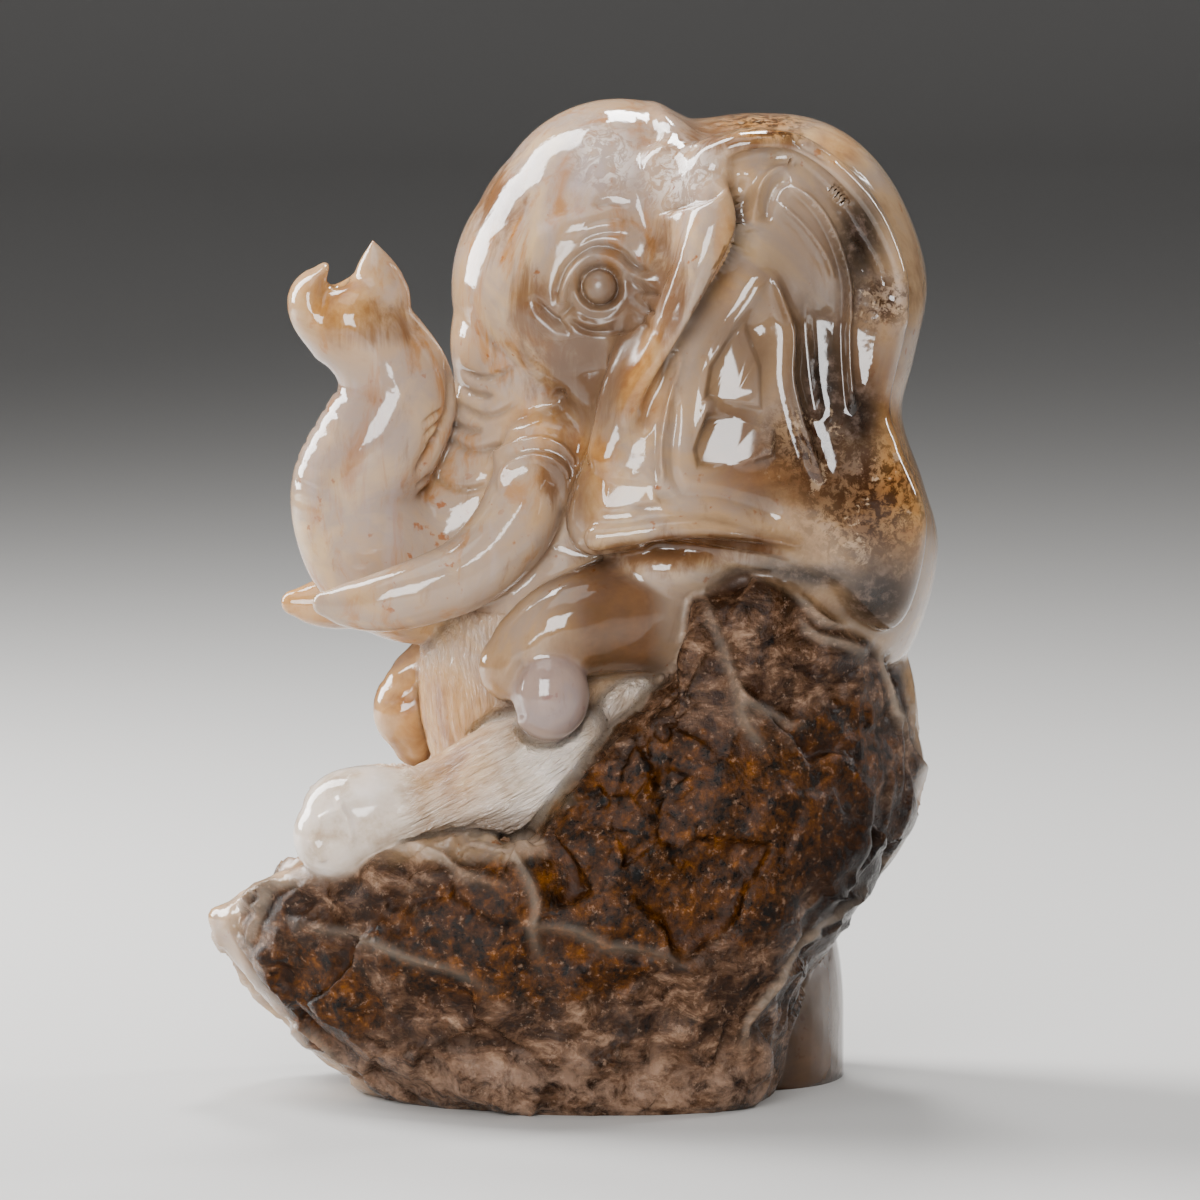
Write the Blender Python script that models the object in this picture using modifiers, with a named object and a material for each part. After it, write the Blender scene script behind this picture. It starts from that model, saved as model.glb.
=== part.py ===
"""Seated elephant on a rock, carved from one chalcedony nodule and polished.

The stone is one piece. Its forms are laid out as the carver blocks them: limbs are lofts along
their centre lines, rounded masses are spheres, the ears and the rock are cushions grown out of
their outlines. A voxel remesh fuses them into one skin, chisel strokes cut the folds into it,
and a level cut makes the underside that it stands on.

The animal faces -X, its left side is -Y, and the origin is under the middle, on the floor.
"""

import math

import bmesh
import bpy
import numpy as np
from mathutils import Matrix

# Driving dimension. Every form below is laid out in 150ths of it, which at this height are mm.
CARVING_HEIGHT = 0.150
UNIT = CARVING_HEIGHT / 150

NAME = "elephant_carving"
SKIN_VOXEL = 0.9
SKIN_TRIANGLES = 9200
LIMB_SIDES = 20
STEPS_PER_SPAN = 5
CAP_RINGS = 4

# x, y, z, radius in the middle plane, radius across it.
TRUNK = [
    (4, 0, 124, 15, 19),
    (-3.8, 0, 113, 15.6, 16),
    (-7.2, 0, 103.5, 11.8, 13),
    (-10.4, 0, 94.5, 11.2, 11),
    (-16, 0, 86, 11.2, 10.5),
    (-22.5, -1, 80.6, 12, 10.3),
    (-29.8, -2, 83, 11.4, 10),
    (-33.8, -3.5, 91.2, 9.8, 9.4),
    (-30.6, -5, 98.9, 9.6, 9.1),
    (-27.6, -5.5, 105.8, 8.8, 8.5),
    (-30.2, -5.5, 112.4, 8, 7.9),
    (-34.4, -5.5, 116.8, 7.4, 7.8),
]
TRUNK_LIP = [
    (-37, -5.5, 115.5, 5, 6.4),
    (-40.4, -5.5, 118.2, 3.6, 5.4),
    (-41.5, -5.5, 120.8, 2.7, 5),
    (-40.5, -5.5, 123, 2.1, 4.4),
    (-39.2, -5.5, 124.4, 1.2, 3.2),
]
TRUNK_FINGER = [
    (-32, -5.5, 116.4, 5, 5.2),
    (-31.2, -5.5, 121, 4, 4.6),
    (-31.3, -5.5, 124.4, 2.8, 3.2),
    (-31.5, -5.5, 127, 1.6, 1.9),
    (-31.6, -5.5, 129.4, 0.4, 0.6),
]
TUSK = [
    (-8.2, 13, 98, 5, 5),
    (-9.3, 14.2, 92.6, 5.9, 5.9),
    (-10.8, 15.2, 88.2, 6.2, 6.2),
    (-14.4, 16.4, 83.6, 6, 6),
    (-18.9, 17.4, 80.2, 5.6, 5.6),
    (-23.8, 18, 78.2, 5.3, 5.3),
    (-29, 18, 76.7, 4.8, 4.8),
    (-33.6, 17.4, 75.6, 3.8, 3.8),
    (-39, 16.6, 75.5, 2.3, 2.3),
    (-43.4, 15.8, 76, 0.6, 0.6),
]
FAR_TUSK_DROP = 3.2
EAR_ROLL = [
    (12.5, 26, 141, 3.4, 3),
    (15.6, 28, 137, 4.8, 4),
    (16.4, 29.5, 131.5, 5.2, 4.4),
    (13.6, 30.5, 124.5, 4.4, 4),
    (8.8, 30.5, 116.5, 3.3, 3.6),
    (4, 30.5, 109, 2.7, 3.2),
    (0.6, 31, 101.6, 2.8, 3),
    (-1.6, 31.5, 94.5, 2.8, 2.8),
    (-2, 31.6, 88, 2.4, 2.4),
]
EAR_MARGIN = [
    (16, 26, 142.6, 2, 3),
    (20.8, 27.5, 144.4, 2, 3),
    (26, 28, 144.6, 2, 3),
    (30.2, 28, 143.4, 2.1, 3),
    (35.6, 28, 139.4, 2.1, 3),
    (40.6, 28, 133.4, 2, 3),
    (44, 27.6, 125.4, 1.8, 3),
    (44.8, 27, 118.5, 1.4, 2.4),
]
EAR_HEM = [
    (-1.2, 31, 86.2, 2.4, 2.4),
    (3.4, 32, 87.6, 2.2, 2.6),
    (9, 32.5, 88.6, 2, 3),
    (14.4, 32.5, 88.8, 1.9, 3.2),
    (20, 32, 87.6, 1.8, 3),
    (26, 31, 85.8, 1.6, 2.6),
    (32, 29.5, 84, 1.2, 2),
]
NEAR_ARM = [
    (14, -16, 72.4, 8.5, 8),
    (5.4, -20, 74, 9, 8.8),
    (-3.6, -22.5, 72.4, 8, 8.2),
    (-9.2, -23, 69.3, 6.8, 7),
    (-12, -23, 66.8, 5.6, 6),
]
NEAR_TOE_PAD = (-7.6, -27, 62.9)
TOE_PAD_RADII = (6.1, 5.8, 6.9)
FAR_ARM = [
    (10, 16, 72, 8.5, 8),
    (-2.7, 19.5, 70.5, 8.2, 8),
    (-14, 16.5, 65.5, 6.6, 6.6),
    (-21.8, 12.5, 61.2, 5, 5.6),
]
FAR_FOOT = [(-21.4, 10, 64.6, 1.6, 4), (-23.8, 10.5, 60.4, 4.2, 5.4), (-25, 11, 56, 4.6, 6), (-23.6, 12, 51.8, 3.2, 5)]
HIND_LEG = [
    (9, 13, 54, 11, 10),
    (-3.6, 18, 51.5, 10, 9),
    (-13.1, 20, 49.6, 8.8, 8.4),
    (-21.2, 20, 47.2, 6.5, 7),
    (-26.4, 20, 46, 5.7, 6.6),
    (-32.6, 19.5, 45.2, 6.8, 7.4),
    (-36.6, 19, 43.8, 7.6, 7.5),
    (-38.6, 19, 41.6, 6.6, 6.8),
]
FAR_LEG_SETBACK, FAR_LEG_DROP = 5, 4.6
FAR_EAR_CURL = [(40, 18, 120, 2, 5), (45, 20, 112, 3.6, 6), (48, 20, 103, 5, 7), (46, 19, 94, 4.4, 6), (42, 18, 86, 2, 5)]
HEEL = [(27.4, 11, -6, 15, 19), (27.4, 10, 6, 15, 20), (27, 9, 17, 14.8, 20), (26, 8, 30, 13, 18)]

# Outlines are x, z seen from the animal's left side.
BACK_OUTLINE = [
    (10, 147.8), (18, 146.6), (27, 147.4), (36, 146.6), (43, 142.8), (49, 135), (53, 123), (51, 112), (48.8, 102.5),
    (52.5, 91.5), (55, 81), (51, 67), (43, 60), (28, 62), (15, 74), (6, 95), (5, 120),
]
BACK_CENTRE = (30, 104)
EAR_OUTLINE = [
    (13.5, 143), (19.5, 146), (26, 146.5), (33, 144), (40, 138), (45, 129), (46.8, 120), (44, 106), (45.5, 99.5),
    (49.5, 88), (47, 74.5), (42, 71.5), (33, 78), (21, 80.3), (9, 84), (-2, 83.5), (-4.4, 90), (0, 102), (6, 115),
    (9.4, 130),
]
EAR_CENTRE = (28, 104)
FAR_EAR_SCALE = 0.96
ROCK_WALL_OUTLINE = [
    (-53, 29), (-47, 35.5), (-34, 40), (-22, 42.3), (-16, 41.6), (-13, 39.4), (-6, 49), (3, 58), (11.5, 66.5),
    (13, 76), (17, 79.6), (30, 79.7), (39, 73), (45.5, 66), (47.8, 53.6), (45.2, 42), (35, 27.5), (27.5, 16.5),
    (24.3, 3), (16, -4), (6, -8), (-9, -3), (-25, 3.6), (-40, 11.5), (-51, 22.5),
]
ROCK_CORE_OUTLINE = [
    (-55.7, 25.8), (-52, 29.6), (-42, 32.2), (-28, 35), (-10, 36), (4, 43.6), (17, 59.5), (29, 68), (40, 70.6),
    (49, 69), (52, 58), (52.6, 46), (46.4, 33.5), (37, 21.8), (32, 11.5), (29.4, -0.4), (24, -7.5), (2, -9), (-19, -6.4),
    (-34.5, 1.6), (-45.5, 11.5),
]
ROCK_CENTRE = (4, 24)
# Share of the rock's full half depth that it has at each x: it narrows to a prow under the feet.
ROCK_PLAN = [(-57, 0.1), (-52, 0.36), (-44, 0.62), (-32, 0.84), (-15, 0.97), (5, 1), (25, 0.98), (40, 0.84), (49, 0.6),
             (54, 0.36)]
BACK_PLAN = [(0, 1), (34, 1), (44, 0.92), (50, 0.76), (55, 0.55)]
# Share of its width that the carving has at each height: the boulder bulges and tucks in.
GIRTH = [(-10, 0.9), (0, 0.92), (12, 0.98), (28, 1.03), (46, 1.02), (64, 0.96), (84, 1), (110, 1), (150, 0.97),
         (160, 0.96)]

# x, z lines on the animal's sides: the eye, the folds of the ears, the rings of the trunk.
EYE = (0.6, 123.2)
EYE_DEPTH = 21.2
EYE_RADIUS = 3.1
LID_RADIUS = 4.3
EAR_FRONT_GROOVE = [
    (19.2, 141.3), (20.8, 138.2), (22.6, 134.4), (22.4, 130.2), (20, 124.8), (15.4, 118.4), (11, 112.4), (7, 106),
]
EAR_TOP_GROOVE = [
    (18.4, 140.8), (21.2, 142), (25.8, 142.4), (30, 141), (35, 136.6), (38.8, 131), (41.6, 125.6), (42.8, 120.5),
]
EAR_LOWER_GROOVE = [(5.6, 91), (9.4, 92.2), (14.8, 92.6), (20.9, 91.2), (27.1, 89)]
EAR_UNDER_LIP = [(8, 85.4), (12.5, 84), (16.8, 83.6), (21.8, 82.8), (28.7, 81.6)]
EAR_FOLDS = [
    [(28.9, 137.7), (32.6, 134), (35.6, 128.9), (36.9, 122.6), (36.4, 114.2), (36.9, 108)],
    [(25, 125.7), (27.2, 121.4), (28.9, 116.5), (28.4, 110.1), (29.6, 104.2), (30.6, 100.9), (33, 93.7)],
    [(12.8, 114.1), (11.6, 108.3), (10.3, 101.9), (10.8, 95.7), (12.8, 92)],
    [(27.9, 140.5), (25.4, 139.4), (24.2, 137), (23.8, 133.5)],
]
TRUNK_RINGS = [
    [(-19.4, 111), (-16, 109.4), (-12, 110.2), (-9.6, 112)],
    [(-19.2, 106.4), (-15.4, 104.6), (-11, 105.4), (-8.4, 107.4)],
    [(-20.6, 101.6), (-16, 99.6), (-11.6, 100.4), (-8.8, 102.4)],
]
TUSK_SLEEVE = [(-14.4, 90), (-13.6, 95.6), (-9.4, 99.4), (-4.4, 98.4), (-1.9, 93.6), (-2.4, 88)]
NOSTRIL = (-36.6, -5.5, 123.6)

# Carved strokes: width and height of relief.
GROOVE_WIDTH, GROOVE_DEPTH = 1.9, 1.8
FOLD_WIDTH, FOLD_HEIGHT = 1.7, 1.4
DISH_RADIUS, DISH_DEPTH = (13.5, 27), 3
RING_WIDTH, RING_DEPTH = 1.2, 0.8
ROCK_RIPPLE = 0.8


def spline(points, steps, closed=False):
    """Catmull-Rom curve through the rows of points, with steps samples for each span."""
    rows = np.asarray(points, float)
    if closed:
        rows = np.vstack([rows[-1:], rows, rows[:2]])
    else:
        rows = np.vstack([2 * rows[0] - rows[1], rows, 2 * rows[-1] - rows[-2]])
    a, b, c, d = (rows[i : len(rows) - 3 + i, None] for i in range(4))
    t = (np.arange(steps) / steps)[None, :, None]
    curve = 0.5 * (2 * b + (c - a) * t + (2 * a - 5 * b + 4 * c - d) * t**2 + (3 * b - 3 * c + d - a) * t**3)
    curve = curve.reshape(-1, rows.shape[1])
    return curve if closed else np.vstack([curve, rows[-2:-1]])


def other_side(stations, drop=0.0, setback=0.0):
    """The same limb on the other side of the animal's middle plane, its free end hung lower."""
    return [(x + setback, -y, z - drop * min(1.0, max(0.0, -x / 20)), *radii) for x, y, z, *radii in stations]


def wrapped(rings):
    """A closed form from an array of rings: its points, and its faces with both ends closed."""
    count, sides = rings.shape[:2]
    i, j = np.meshgrid(np.arange(count - 1) * sides, np.arange(sides), indexing="ij")
    k = (j + 1) % sides
    quads = np.stack([i + j, i + k, i + k + sides, i + j + sides], axis=-1).reshape(-1, 4)
    first = list(range(sides))[::-1]
    last = list(range((count - 1) * sides, count * sides))
    return rings.reshape(-1, 3), quads.tolist() + [first, last]


def loft(stations):
    """Elliptical rings along a smooth centre line, with round ends."""
    rows = spline(stations, STEPS_PER_SPAN)
    centre, radii = rows[:, :3], np.maximum(rows[:, 3:5], 0.15)
    along = np.gradient(centre, axis=0)
    along /= np.linalg.norm(along, axis=1)[:, None]
    bow = np.linspace(0, math.pi / 2, CAP_RINGS + 1)[1:, None]
    start = centre[0] - along[0] * radii[0].mean() * np.sin(bow)
    end = centre[-1] + along[-1] * radii[-1].mean() * np.sin(bow)
    centre = np.vstack([start[::-1], centre, end])
    radii = np.vstack([(radii[0] * np.cos(bow))[::-1], radii, radii[-1] * np.cos(bow)])
    along = np.vstack([np.repeat(along[:1], CAP_RINGS, axis=0), along, np.repeat(along[-1:], CAP_RINGS, axis=0)])
    across = np.array([0, 1, 0]) - along * along[:, 1:2]
    across /= np.linalg.norm(across, axis=1)[:, None]
    upright = np.cross(along, across)
    turns = (np.arange(LIMB_SIDES) * 2 * math.pi / LIMB_SIDES)[None, :, None]
    deep, wide = np.maximum(radii, 0.02).T[:, :, None, None]
    return wrapped(centre[:, None] + deep * np.cos(turns) * upright[:, None] + wide * np.sin(turns) * across[:, None])


def ball(centre, radii, lean=0.0):
    """A rounded mass: a sphere stretched to three radii and leant in the middle plane."""
    place = Matrix.Translation(centre) @ Matrix.Rotation(math.radians(lean), 4, "Y")
    bm = bmesh.new()
    bmesh.ops.create_uvsphere(bm, u_segments=40, v_segments=24, radius=1, matrix=place @ Matrix.Diagonal((*radii, 1)))
    points = np.array([vert.co for vert in bm.verts])
    bm.verts.index_update()
    faces = [[vert.index for vert in face.verts] for face in bm.faces]
    bm.free()
    return points, faces


def cushion(outline, centre, near, far, fullness, plan=((0, 1), (1, 1))):
    """A slab grown out of a closed x, z outline: its rings are the outline shrunk towards the
    centre, over a dome on each face. Fullness under one flattens the domes; plan narrows the
    slab towards the middle plane along x."""
    curve = spline(outline, STEPS_PER_SPAN, closed=True)[::-1]
    bow = np.linspace(-1.54, 1.54, 31)[:, None]
    girth = np.cos(bow) ** fullness
    x = centre[0] + (curve[:, 0] - centre[0]) * girth
    z = centre[1] + (curve[:, 1] - centre[1]) * girth
    y = (near + far) / 2 + (far - near) / 2 * np.sign(bow) * np.abs(np.sin(bow)) ** (2 * fullness)
    share = np.interp(x, *zip(*plan))
    return wrapped(np.stack([x, y * share, z], axis=-1))


def head_forms():
    """Skull, nape, cheeks, trunk with its lip and finger, tusks and eyes."""
    yield ball((2.2, 0, 121.5), (20.9, 22.6, 21.2))
    yield ball((6.6, 0, 129.9), (19.9, 20, 20.3))
    yield ball((3, 0, 106), (13, 17, 17), lean=-15)
    yield cushion(BACK_OUTLINE, BACK_CENTRE, -29, 29, 0.46, BACK_PLAN)
    for stations in (TRUNK, TRUNK_LIP, TRUNK_FINGER, other_side(TUSK)):
        yield loft(stations)
    yield loft(other_side(other_side(TUSK), FAR_TUSK_DROP))
    for side in (-1, 1):
        yield ball((-4.5, side * 11, 96), (9, 8.5, 9))
        yield ball((EYE[0], side * EYE_DEPTH, EYE[1]), (EYE_RADIUS,) * 3)


def ear_forms():
    """Two broad ears that stand off the nape, each with a rolled front, a margin and a hem."""
    yield cushion(EAR_OUTLINE, EAR_CENTRE, -31, -14, 0.36)
    smaller = (np.array(EAR_OUTLINE) - EAR_CENTRE) * FAR_EAR_SCALE + EAR_CENTRE
    yield cushion(smaller, EAR_CENTRE, 14, 30, 0.36)
    for stations in (EAR_ROLL, EAR_MARGIN, EAR_HEM):
        yield loft(other_side(stations))
        yield loft([
            (28 + (x - 28) * FAR_EAR_SCALE, y - 1, 104 + (z - 104) * FAR_EAR_SCALE, *radii)
            for x, y, z, *radii in stations
        ])
    yield loft(FAR_EAR_CURL)


def body_forms():
    """Chest and belly, the two arms with their padded feet, and the outstretched hind legs."""
    yield ball((-1.2, 0, 61), (22.4, 23, 30), lean=-6)
    yield ball((2, 0, 86), (15, 17, 18))
    yield loft(NEAR_ARM)
    yield ball(NEAR_TOE_PAD, TOE_PAD_RADII)
    yield loft(FAR_ARM)
    yield loft(FAR_FOOT)
    yield loft(other_side(HIND_LEG))
    yield loft(other_side(other_side(HIND_LEG), FAR_LEG_DROP, FAR_LEG_SETBACK))
    for side in (-1, 1):
        yield ball((5.4, side * 19, 58.4), (6.6, 7, 6.6))
        yield ball((12, side * 21, 81), (10, 7.5, 5))


def rock_forms():
    """The nodule's crust: a boulder that makes the seat, a wall up each side, and a smooth heel."""
    yield cushion(ROCK_CORE_OUTLINE, ROCK_CENTRE, -33, 33, 0.45, ROCK_PLAN)
    yield cushion(ROCK_WALL_OUTLINE, ROCK_CENTRE, -35, -12, 0.4, ROCK_PLAN)
    far_wall = [(4 + (x - 4) * 0.95, z - 4) for x, z in ROCK_WALL_OUTLINE]
    yield cushion(far_wall, ROCK_CENTRE, 12, 34, 0.42, ROCK_PLAN)
    yield loft(HEEL)


def distance_to(line, x, z):
    """Distance in the side view from each vertex to a smooth line through x, z points."""
    curve = spline(line, 4)
    nearest = np.full(len(x), np.inf)
    for (ax, az), (bx, bz) in zip(curve, curve[1:]):
        span = np.array([bx - ax, bz - az])
        share = np.clip(((x - ax) * span[0] + (z - az) * span[1]) / (span @ span), 0, 1)
        nearest = np.minimum(nearest, np.hypot(x - ax - share * span[0], z - az - share * span[1]))
    return nearest


def carve(points, normals):
    """Moves the skin along its normals: the ears' dishes, grooves and folds, the trunk's rings
    and nostril, the tusks' sleeves, the eyelids, and the ripples of the rock's crust."""
    x, y, z = points.T / UNIT
    side = np.abs(y)
    outward = np.clip(np.abs(normals[:, 1]) * 2, 0, 1)
    on_ear = (side > 20) * np.clip((z - 79) / 3, 0, 1) * outward
    on_face = (side > 5) * (side < 27) * outward

    def relief(line, width, height, where):
        return height * np.exp(-((distance_to(line, x, z) / width) ** 2)) * where

    dish = np.hypot((x - EAR_CENTRE[0] + 1) / DISH_RADIUS[0], (z - EAR_CENTRE[1] - 7) / DISH_RADIUS[1])
    shift = -DISH_DEPTH * np.exp(-(dish**4)) * on_ear
    for groove in (EAR_FRONT_GROOVE, EAR_TOP_GROOVE, EAR_LOWER_GROOVE, EAR_UNDER_LIP):
        shift -= relief(groove, GROOVE_WIDTH, GROOVE_DEPTH, on_ear)
    for fold in EAR_FOLDS:
        shift += relief(fold, FOLD_WIDTH, FOLD_HEIGHT, on_ear)
    for ring in TRUNK_RINGS:
        shift -= relief(ring, RING_WIDTH, RING_DEPTH, on_face)
    shift += relief(TUSK_SLEEVE, 1.6, 1.3, on_face * (side > 8))
    shift -= 1.6 * np.exp(-(np.linalg.norm((points / UNIT - NOSTRIL) / (1.6, 2.6, 2), axis=1) ** 2))
    eye = np.hypot(x - EYE[0], z - EYE[1])
    beside_eye = (side > 15) * (side < 30)
    shift += 1.2 * np.exp(-(((eye - LID_RADIUS) / 0.8) ** 2)) * beside_eye
    shift -= 1.0 * np.exp(-(((eye - 7.5) / 2.5) ** 2)) * beside_eye
    crust = np.clip((66 - z) / 8, 0, 1) * np.clip((side - 29) / 2, 0, 1)
    crust = np.maximum(crust, np.clip((31 - z) / 5, 0, 1) * (x < 26))
    ripple = np.sin(0.42 * x + 0.9 * np.sin(0.23 * z)) * np.cos(0.37 * z - 0.8 * np.sin(0.31 * x))
    shift += ROCK_RIPPLE * ripple * crust
    return points + normals * (shift * UNIT)[:, None]


def evaluated_mesh(obj):
    """The object's mesh with its modifiers applied."""
    bpy.context.view_layer.update()
    graph = bpy.context.evaluated_depsgraph_get()
    return bpy.data.meshes.new_from_object(obj.evaluated_get(graph))


def fused_skin(forms):
    """One skin around all the overlapping forms, with the strokes carved into it."""
    points, faces = [], []
    for form_points, form_faces in forms:
        first = sum(len(p) for p in points)
        points.append(form_points)
        faces += [[first + corner for corner in face] for face in form_faces]
    rough = bpy.data.meshes.new("blocked_out")
    rough.from_pydata(np.vstack(points) * UNIT, [], faces)
    blocked_out = bpy.data.objects.new("blocked_out", rough)
    bpy.context.scene.collection.objects.link(blocked_out)
    remesh = blocked_out.modifiers.new("fuse", "REMESH")
    remesh.mode = "VOXEL"
    remesh.voxel_size = SKIN_VOXEL * UNIT
    mesh = evaluated_mesh(blocked_out)
    bpy.data.objects.remove(blocked_out)
    points = np.empty(len(mesh.vertices) * 3, np.float32)
    mesh.vertices.foreach_get("co", points)
    normals = np.empty(len(mesh.vertices) * 3, np.float32)
    mesh.vertex_normals.foreach_get("vector", normals)
    points = points.reshape(-1, 3)
    points[:, 1] *= np.interp(points[:, 2] / UNIT, *spline(GIRTH, 6).T)
    carved = carve(points, normals.reshape(-1, 3))
    mesh.vertices.foreach_set("co", carved.astype(np.float32).ravel())
    mesh.update()
    return mesh


def level_cutter():
    """The plane that the underside was sawn to, as a block below the floor."""
    bpy.ops.mesh.primitive_cube_add(size=1, location=(0, 0, -0.5 * CARVING_HEIGHT))
    cutter = bpy.context.object
    cutter.name = "underside_saw"
    cutter.scale = (2 * CARVING_HEIGHT, 2 * CARVING_HEIGHT, CARVING_HEIGHT)
    cutter.hide_render = True
    cutter.display_type = "WIRE"
    return cutter


def chalcedony():
    """Polished cream and brown stone."""
    stone = bpy.data.materials.new("chalcedony")
    stone.use_nodes = True
    shader = stone.node_tree.nodes["Principled BSDF"]
    shader.inputs["Base Color"].default_value = (0.55, 0.40, 0.28, 1)
    shader.inputs["Roughness"].default_value = 0.15
    shader.inputs["Metallic"].default_value = 0.0
    return stone


def collection_named(name):
    made = bpy.data.collections.new(name)
    bpy.context.scene.collection.children.link(made)
    return made


def move_to(obj, collection):
    for old in list(obj.users_collection):
        old.objects.unlink(obj)
    collection.objects.link(obj)


def main():
    for obj in list(bpy.data.objects):
        bpy.data.objects.remove(obj)
    mesh = fused_skin([*head_forms(), *ear_forms(), *body_forms(), *rock_forms()])
    carving = bpy.data.objects.new(NAME, mesh)
    move_to(carving, collection_named("chalcedony_elephant"))
    mesh.name = NAME
    mesh.shade_smooth()
    mesh.materials.clear()
    mesh.materials.append(chalcedony())
    smooth = carving.modifiers.new("polish", "SMOOTH")
    smooth.factor = 0.5
    smooth.iterations = 2
    thin = carving.modifiers.new("facets", "DECIMATE")
    mesh.calc_loop_triangles()
    thin.ratio = min(1.0, SKIN_TRIANGLES / len(mesh.loop_triangles))
    cutter = level_cutter()
    move_to(cutter, collection_named("cutters"))
    cut = carving.modifiers.new("level_underside", "BOOLEAN")
    cut.operation = "DIFFERENCE"
    cut.solver = "EXACT"
    cut.object = cutter


main()
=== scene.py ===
"""Seated elephant on a rock, carved from one chalcedony nodule and polished: how it looks.

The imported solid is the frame. One finished skin replaces it: the same forms at a finer grain,
with the eyes, folds, hair and broken crust cut into the mesh, and one stone material over it.
The animal faces -X, its left side is -Y, and it stands on the floor at z = 0.
"""

import math

import bmesh
import bpy
import numpy as np
from mathutils import Matrix, Vector


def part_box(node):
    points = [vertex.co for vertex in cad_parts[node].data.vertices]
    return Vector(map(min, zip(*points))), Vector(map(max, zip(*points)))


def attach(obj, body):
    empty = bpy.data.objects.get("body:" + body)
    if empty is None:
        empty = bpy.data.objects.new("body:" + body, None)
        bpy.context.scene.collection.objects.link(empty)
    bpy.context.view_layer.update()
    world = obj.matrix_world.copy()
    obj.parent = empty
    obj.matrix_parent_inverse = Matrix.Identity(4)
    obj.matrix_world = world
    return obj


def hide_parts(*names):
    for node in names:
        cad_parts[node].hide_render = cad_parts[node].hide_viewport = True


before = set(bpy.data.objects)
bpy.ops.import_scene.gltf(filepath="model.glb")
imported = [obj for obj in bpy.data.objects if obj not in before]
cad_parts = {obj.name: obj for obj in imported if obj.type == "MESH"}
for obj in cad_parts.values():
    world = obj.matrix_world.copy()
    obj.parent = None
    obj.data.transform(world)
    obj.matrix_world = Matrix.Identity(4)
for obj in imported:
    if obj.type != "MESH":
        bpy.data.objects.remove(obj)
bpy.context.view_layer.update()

# Head, trunk and tusks: the carver blocks them out of the palest end of the nodule as domes
# and tapering limbs. Lengths are in 150ths of the carving's height, which here are mm.
CARVING = "elephant_carving"
low_corner, high_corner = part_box(CARVING)
unit = (high_corner[2] - low_corner[2]) / 150

TRUNK = [
    (4, 0, 124, 15, 19), (-3.8, 0, 113, 15.6, 16), (-7.2, 0, 103.5, 11.8, 13), (-10.4, 0, 94.5, 11.2, 11),
    (-16, 0, 86, 11.2, 10.5), (-22.5, -1, 80.2, 12.2, 10.3), (-29.8, -2, 82.8, 11.6, 10),
    (-33.8, -3.5, 91.2, 9.9, 9.4), (-30.6, -5, 98.9, 9.6, 9.1), (-27.6, -5.5, 105.8, 8.8, 8.5),
    (-30.2, -5.5, 112.4, 7.8, 7.8), (-34.4, -5.5, 116.8, 7.2, 7.6),
]
TRUNK_LIP = [
    (-37, -5.5, 115.5, 5, 6.4), (-40.4, -5.5, 118.2, 3.6, 5.4), (-41.5, -5.5, 120.8, 2.7, 5),
    (-40.5, -5.5, 123, 2.1, 4.4), (-39.2, -5.5, 124.4, 1.2, 3.2),
]
TRUNK_FINGER = [
    (-32, -5.5, 115.4, 5.6, 5.6), (-30.6, -5.5, 120, 5, 5), (-30.6, -5.5, 122.8, 4.2, 4.2),
    (-31, -5.5, 125.8, 2.8, 2.8), (-31.3, -5.5, 128.8, 0.6, 0.6),
]
TUSK = [
    (-8.2, 13, 98, 5, 5), (-9.3, 14.2, 92.6, 5.9, 5.9), (-10.8, 15.2, 88.2, 6.2, 6.2),
    (-14.4, 16.4, 83.6, 6, 6), (-18.9, 17.4, 80.2, 5.6, 5.6), (-23.8, 18, 78.2, 5.3, 5.3),
    (-29, 18, 76.7, 4.9, 4.9), (-33.6, 17.4, 75.8, 4.2, 4.2), (-37.4, 16.8, 75.7, 3.2, 3.2),
    (-39.9, 16.4, 75.9, 2, 2),
]
FAR_TUSK_DROP, FAR_TUSK_REACH = 3.2, -1.2
BROW = [
    (-8, 14.4, 128, 3, 3.2), (-2.5, 15.6, 131, 4, 4.6), (4, 16.4, 131.6, 4, 4.8), (9, 17.6, 129.6, 3, 3.4),
]
CHEEK = [(-7, 12.6, 113, 4, 4), (-1, 14, 110, 5, 5), (3.6, 17, 105, 5, 5), (3.8, 20, 97, 4, 4)]
EAR_ROOT = [
    (12, 17.6, 140, 5, 5), (13.6, 20.6, 134, 5, 5.4), (12.4, 22, 126, 4.6, 5), (8.6, 23.4, 117, 4.6, 4.8),
    (4, 25, 108, 4, 4.4), (1.4, 26.6, 98, 3.6, 3.6),
]
EYE = (0.6, 123.2)
blocks = []


def smooth_curve(rows, steps, closed=False):
    """Catmull-Rom curve through rows of numbers: each span is the cubic that passes through
    its two ends with the slope of the line between their outer neighbours."""
    rows = np.asarray(rows, float)
    if closed:
        rows = np.vstack([rows[-1:], rows, rows[:2]])
    else:
        rows = np.vstack([2 * rows[0] - rows[1], rows, 2 * rows[-1] - rows[-2]])
    a, b, c, d = (rows[i:len(rows) - 3 + i, None] for i in range(4))
    t = (np.arange(steps) / steps)[None, :, None]
    curve = 0.5 * (2 * b + (c - a) * t + (2 * a - 5 * b + 4 * c - d) * t**2 + (3 * b - 3 * c + d - a) * t**3)
    curve = curve.reshape(-1, rows.shape[1])
    return curve if closed else np.vstack([curve, rows[-2:-1]])


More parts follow.
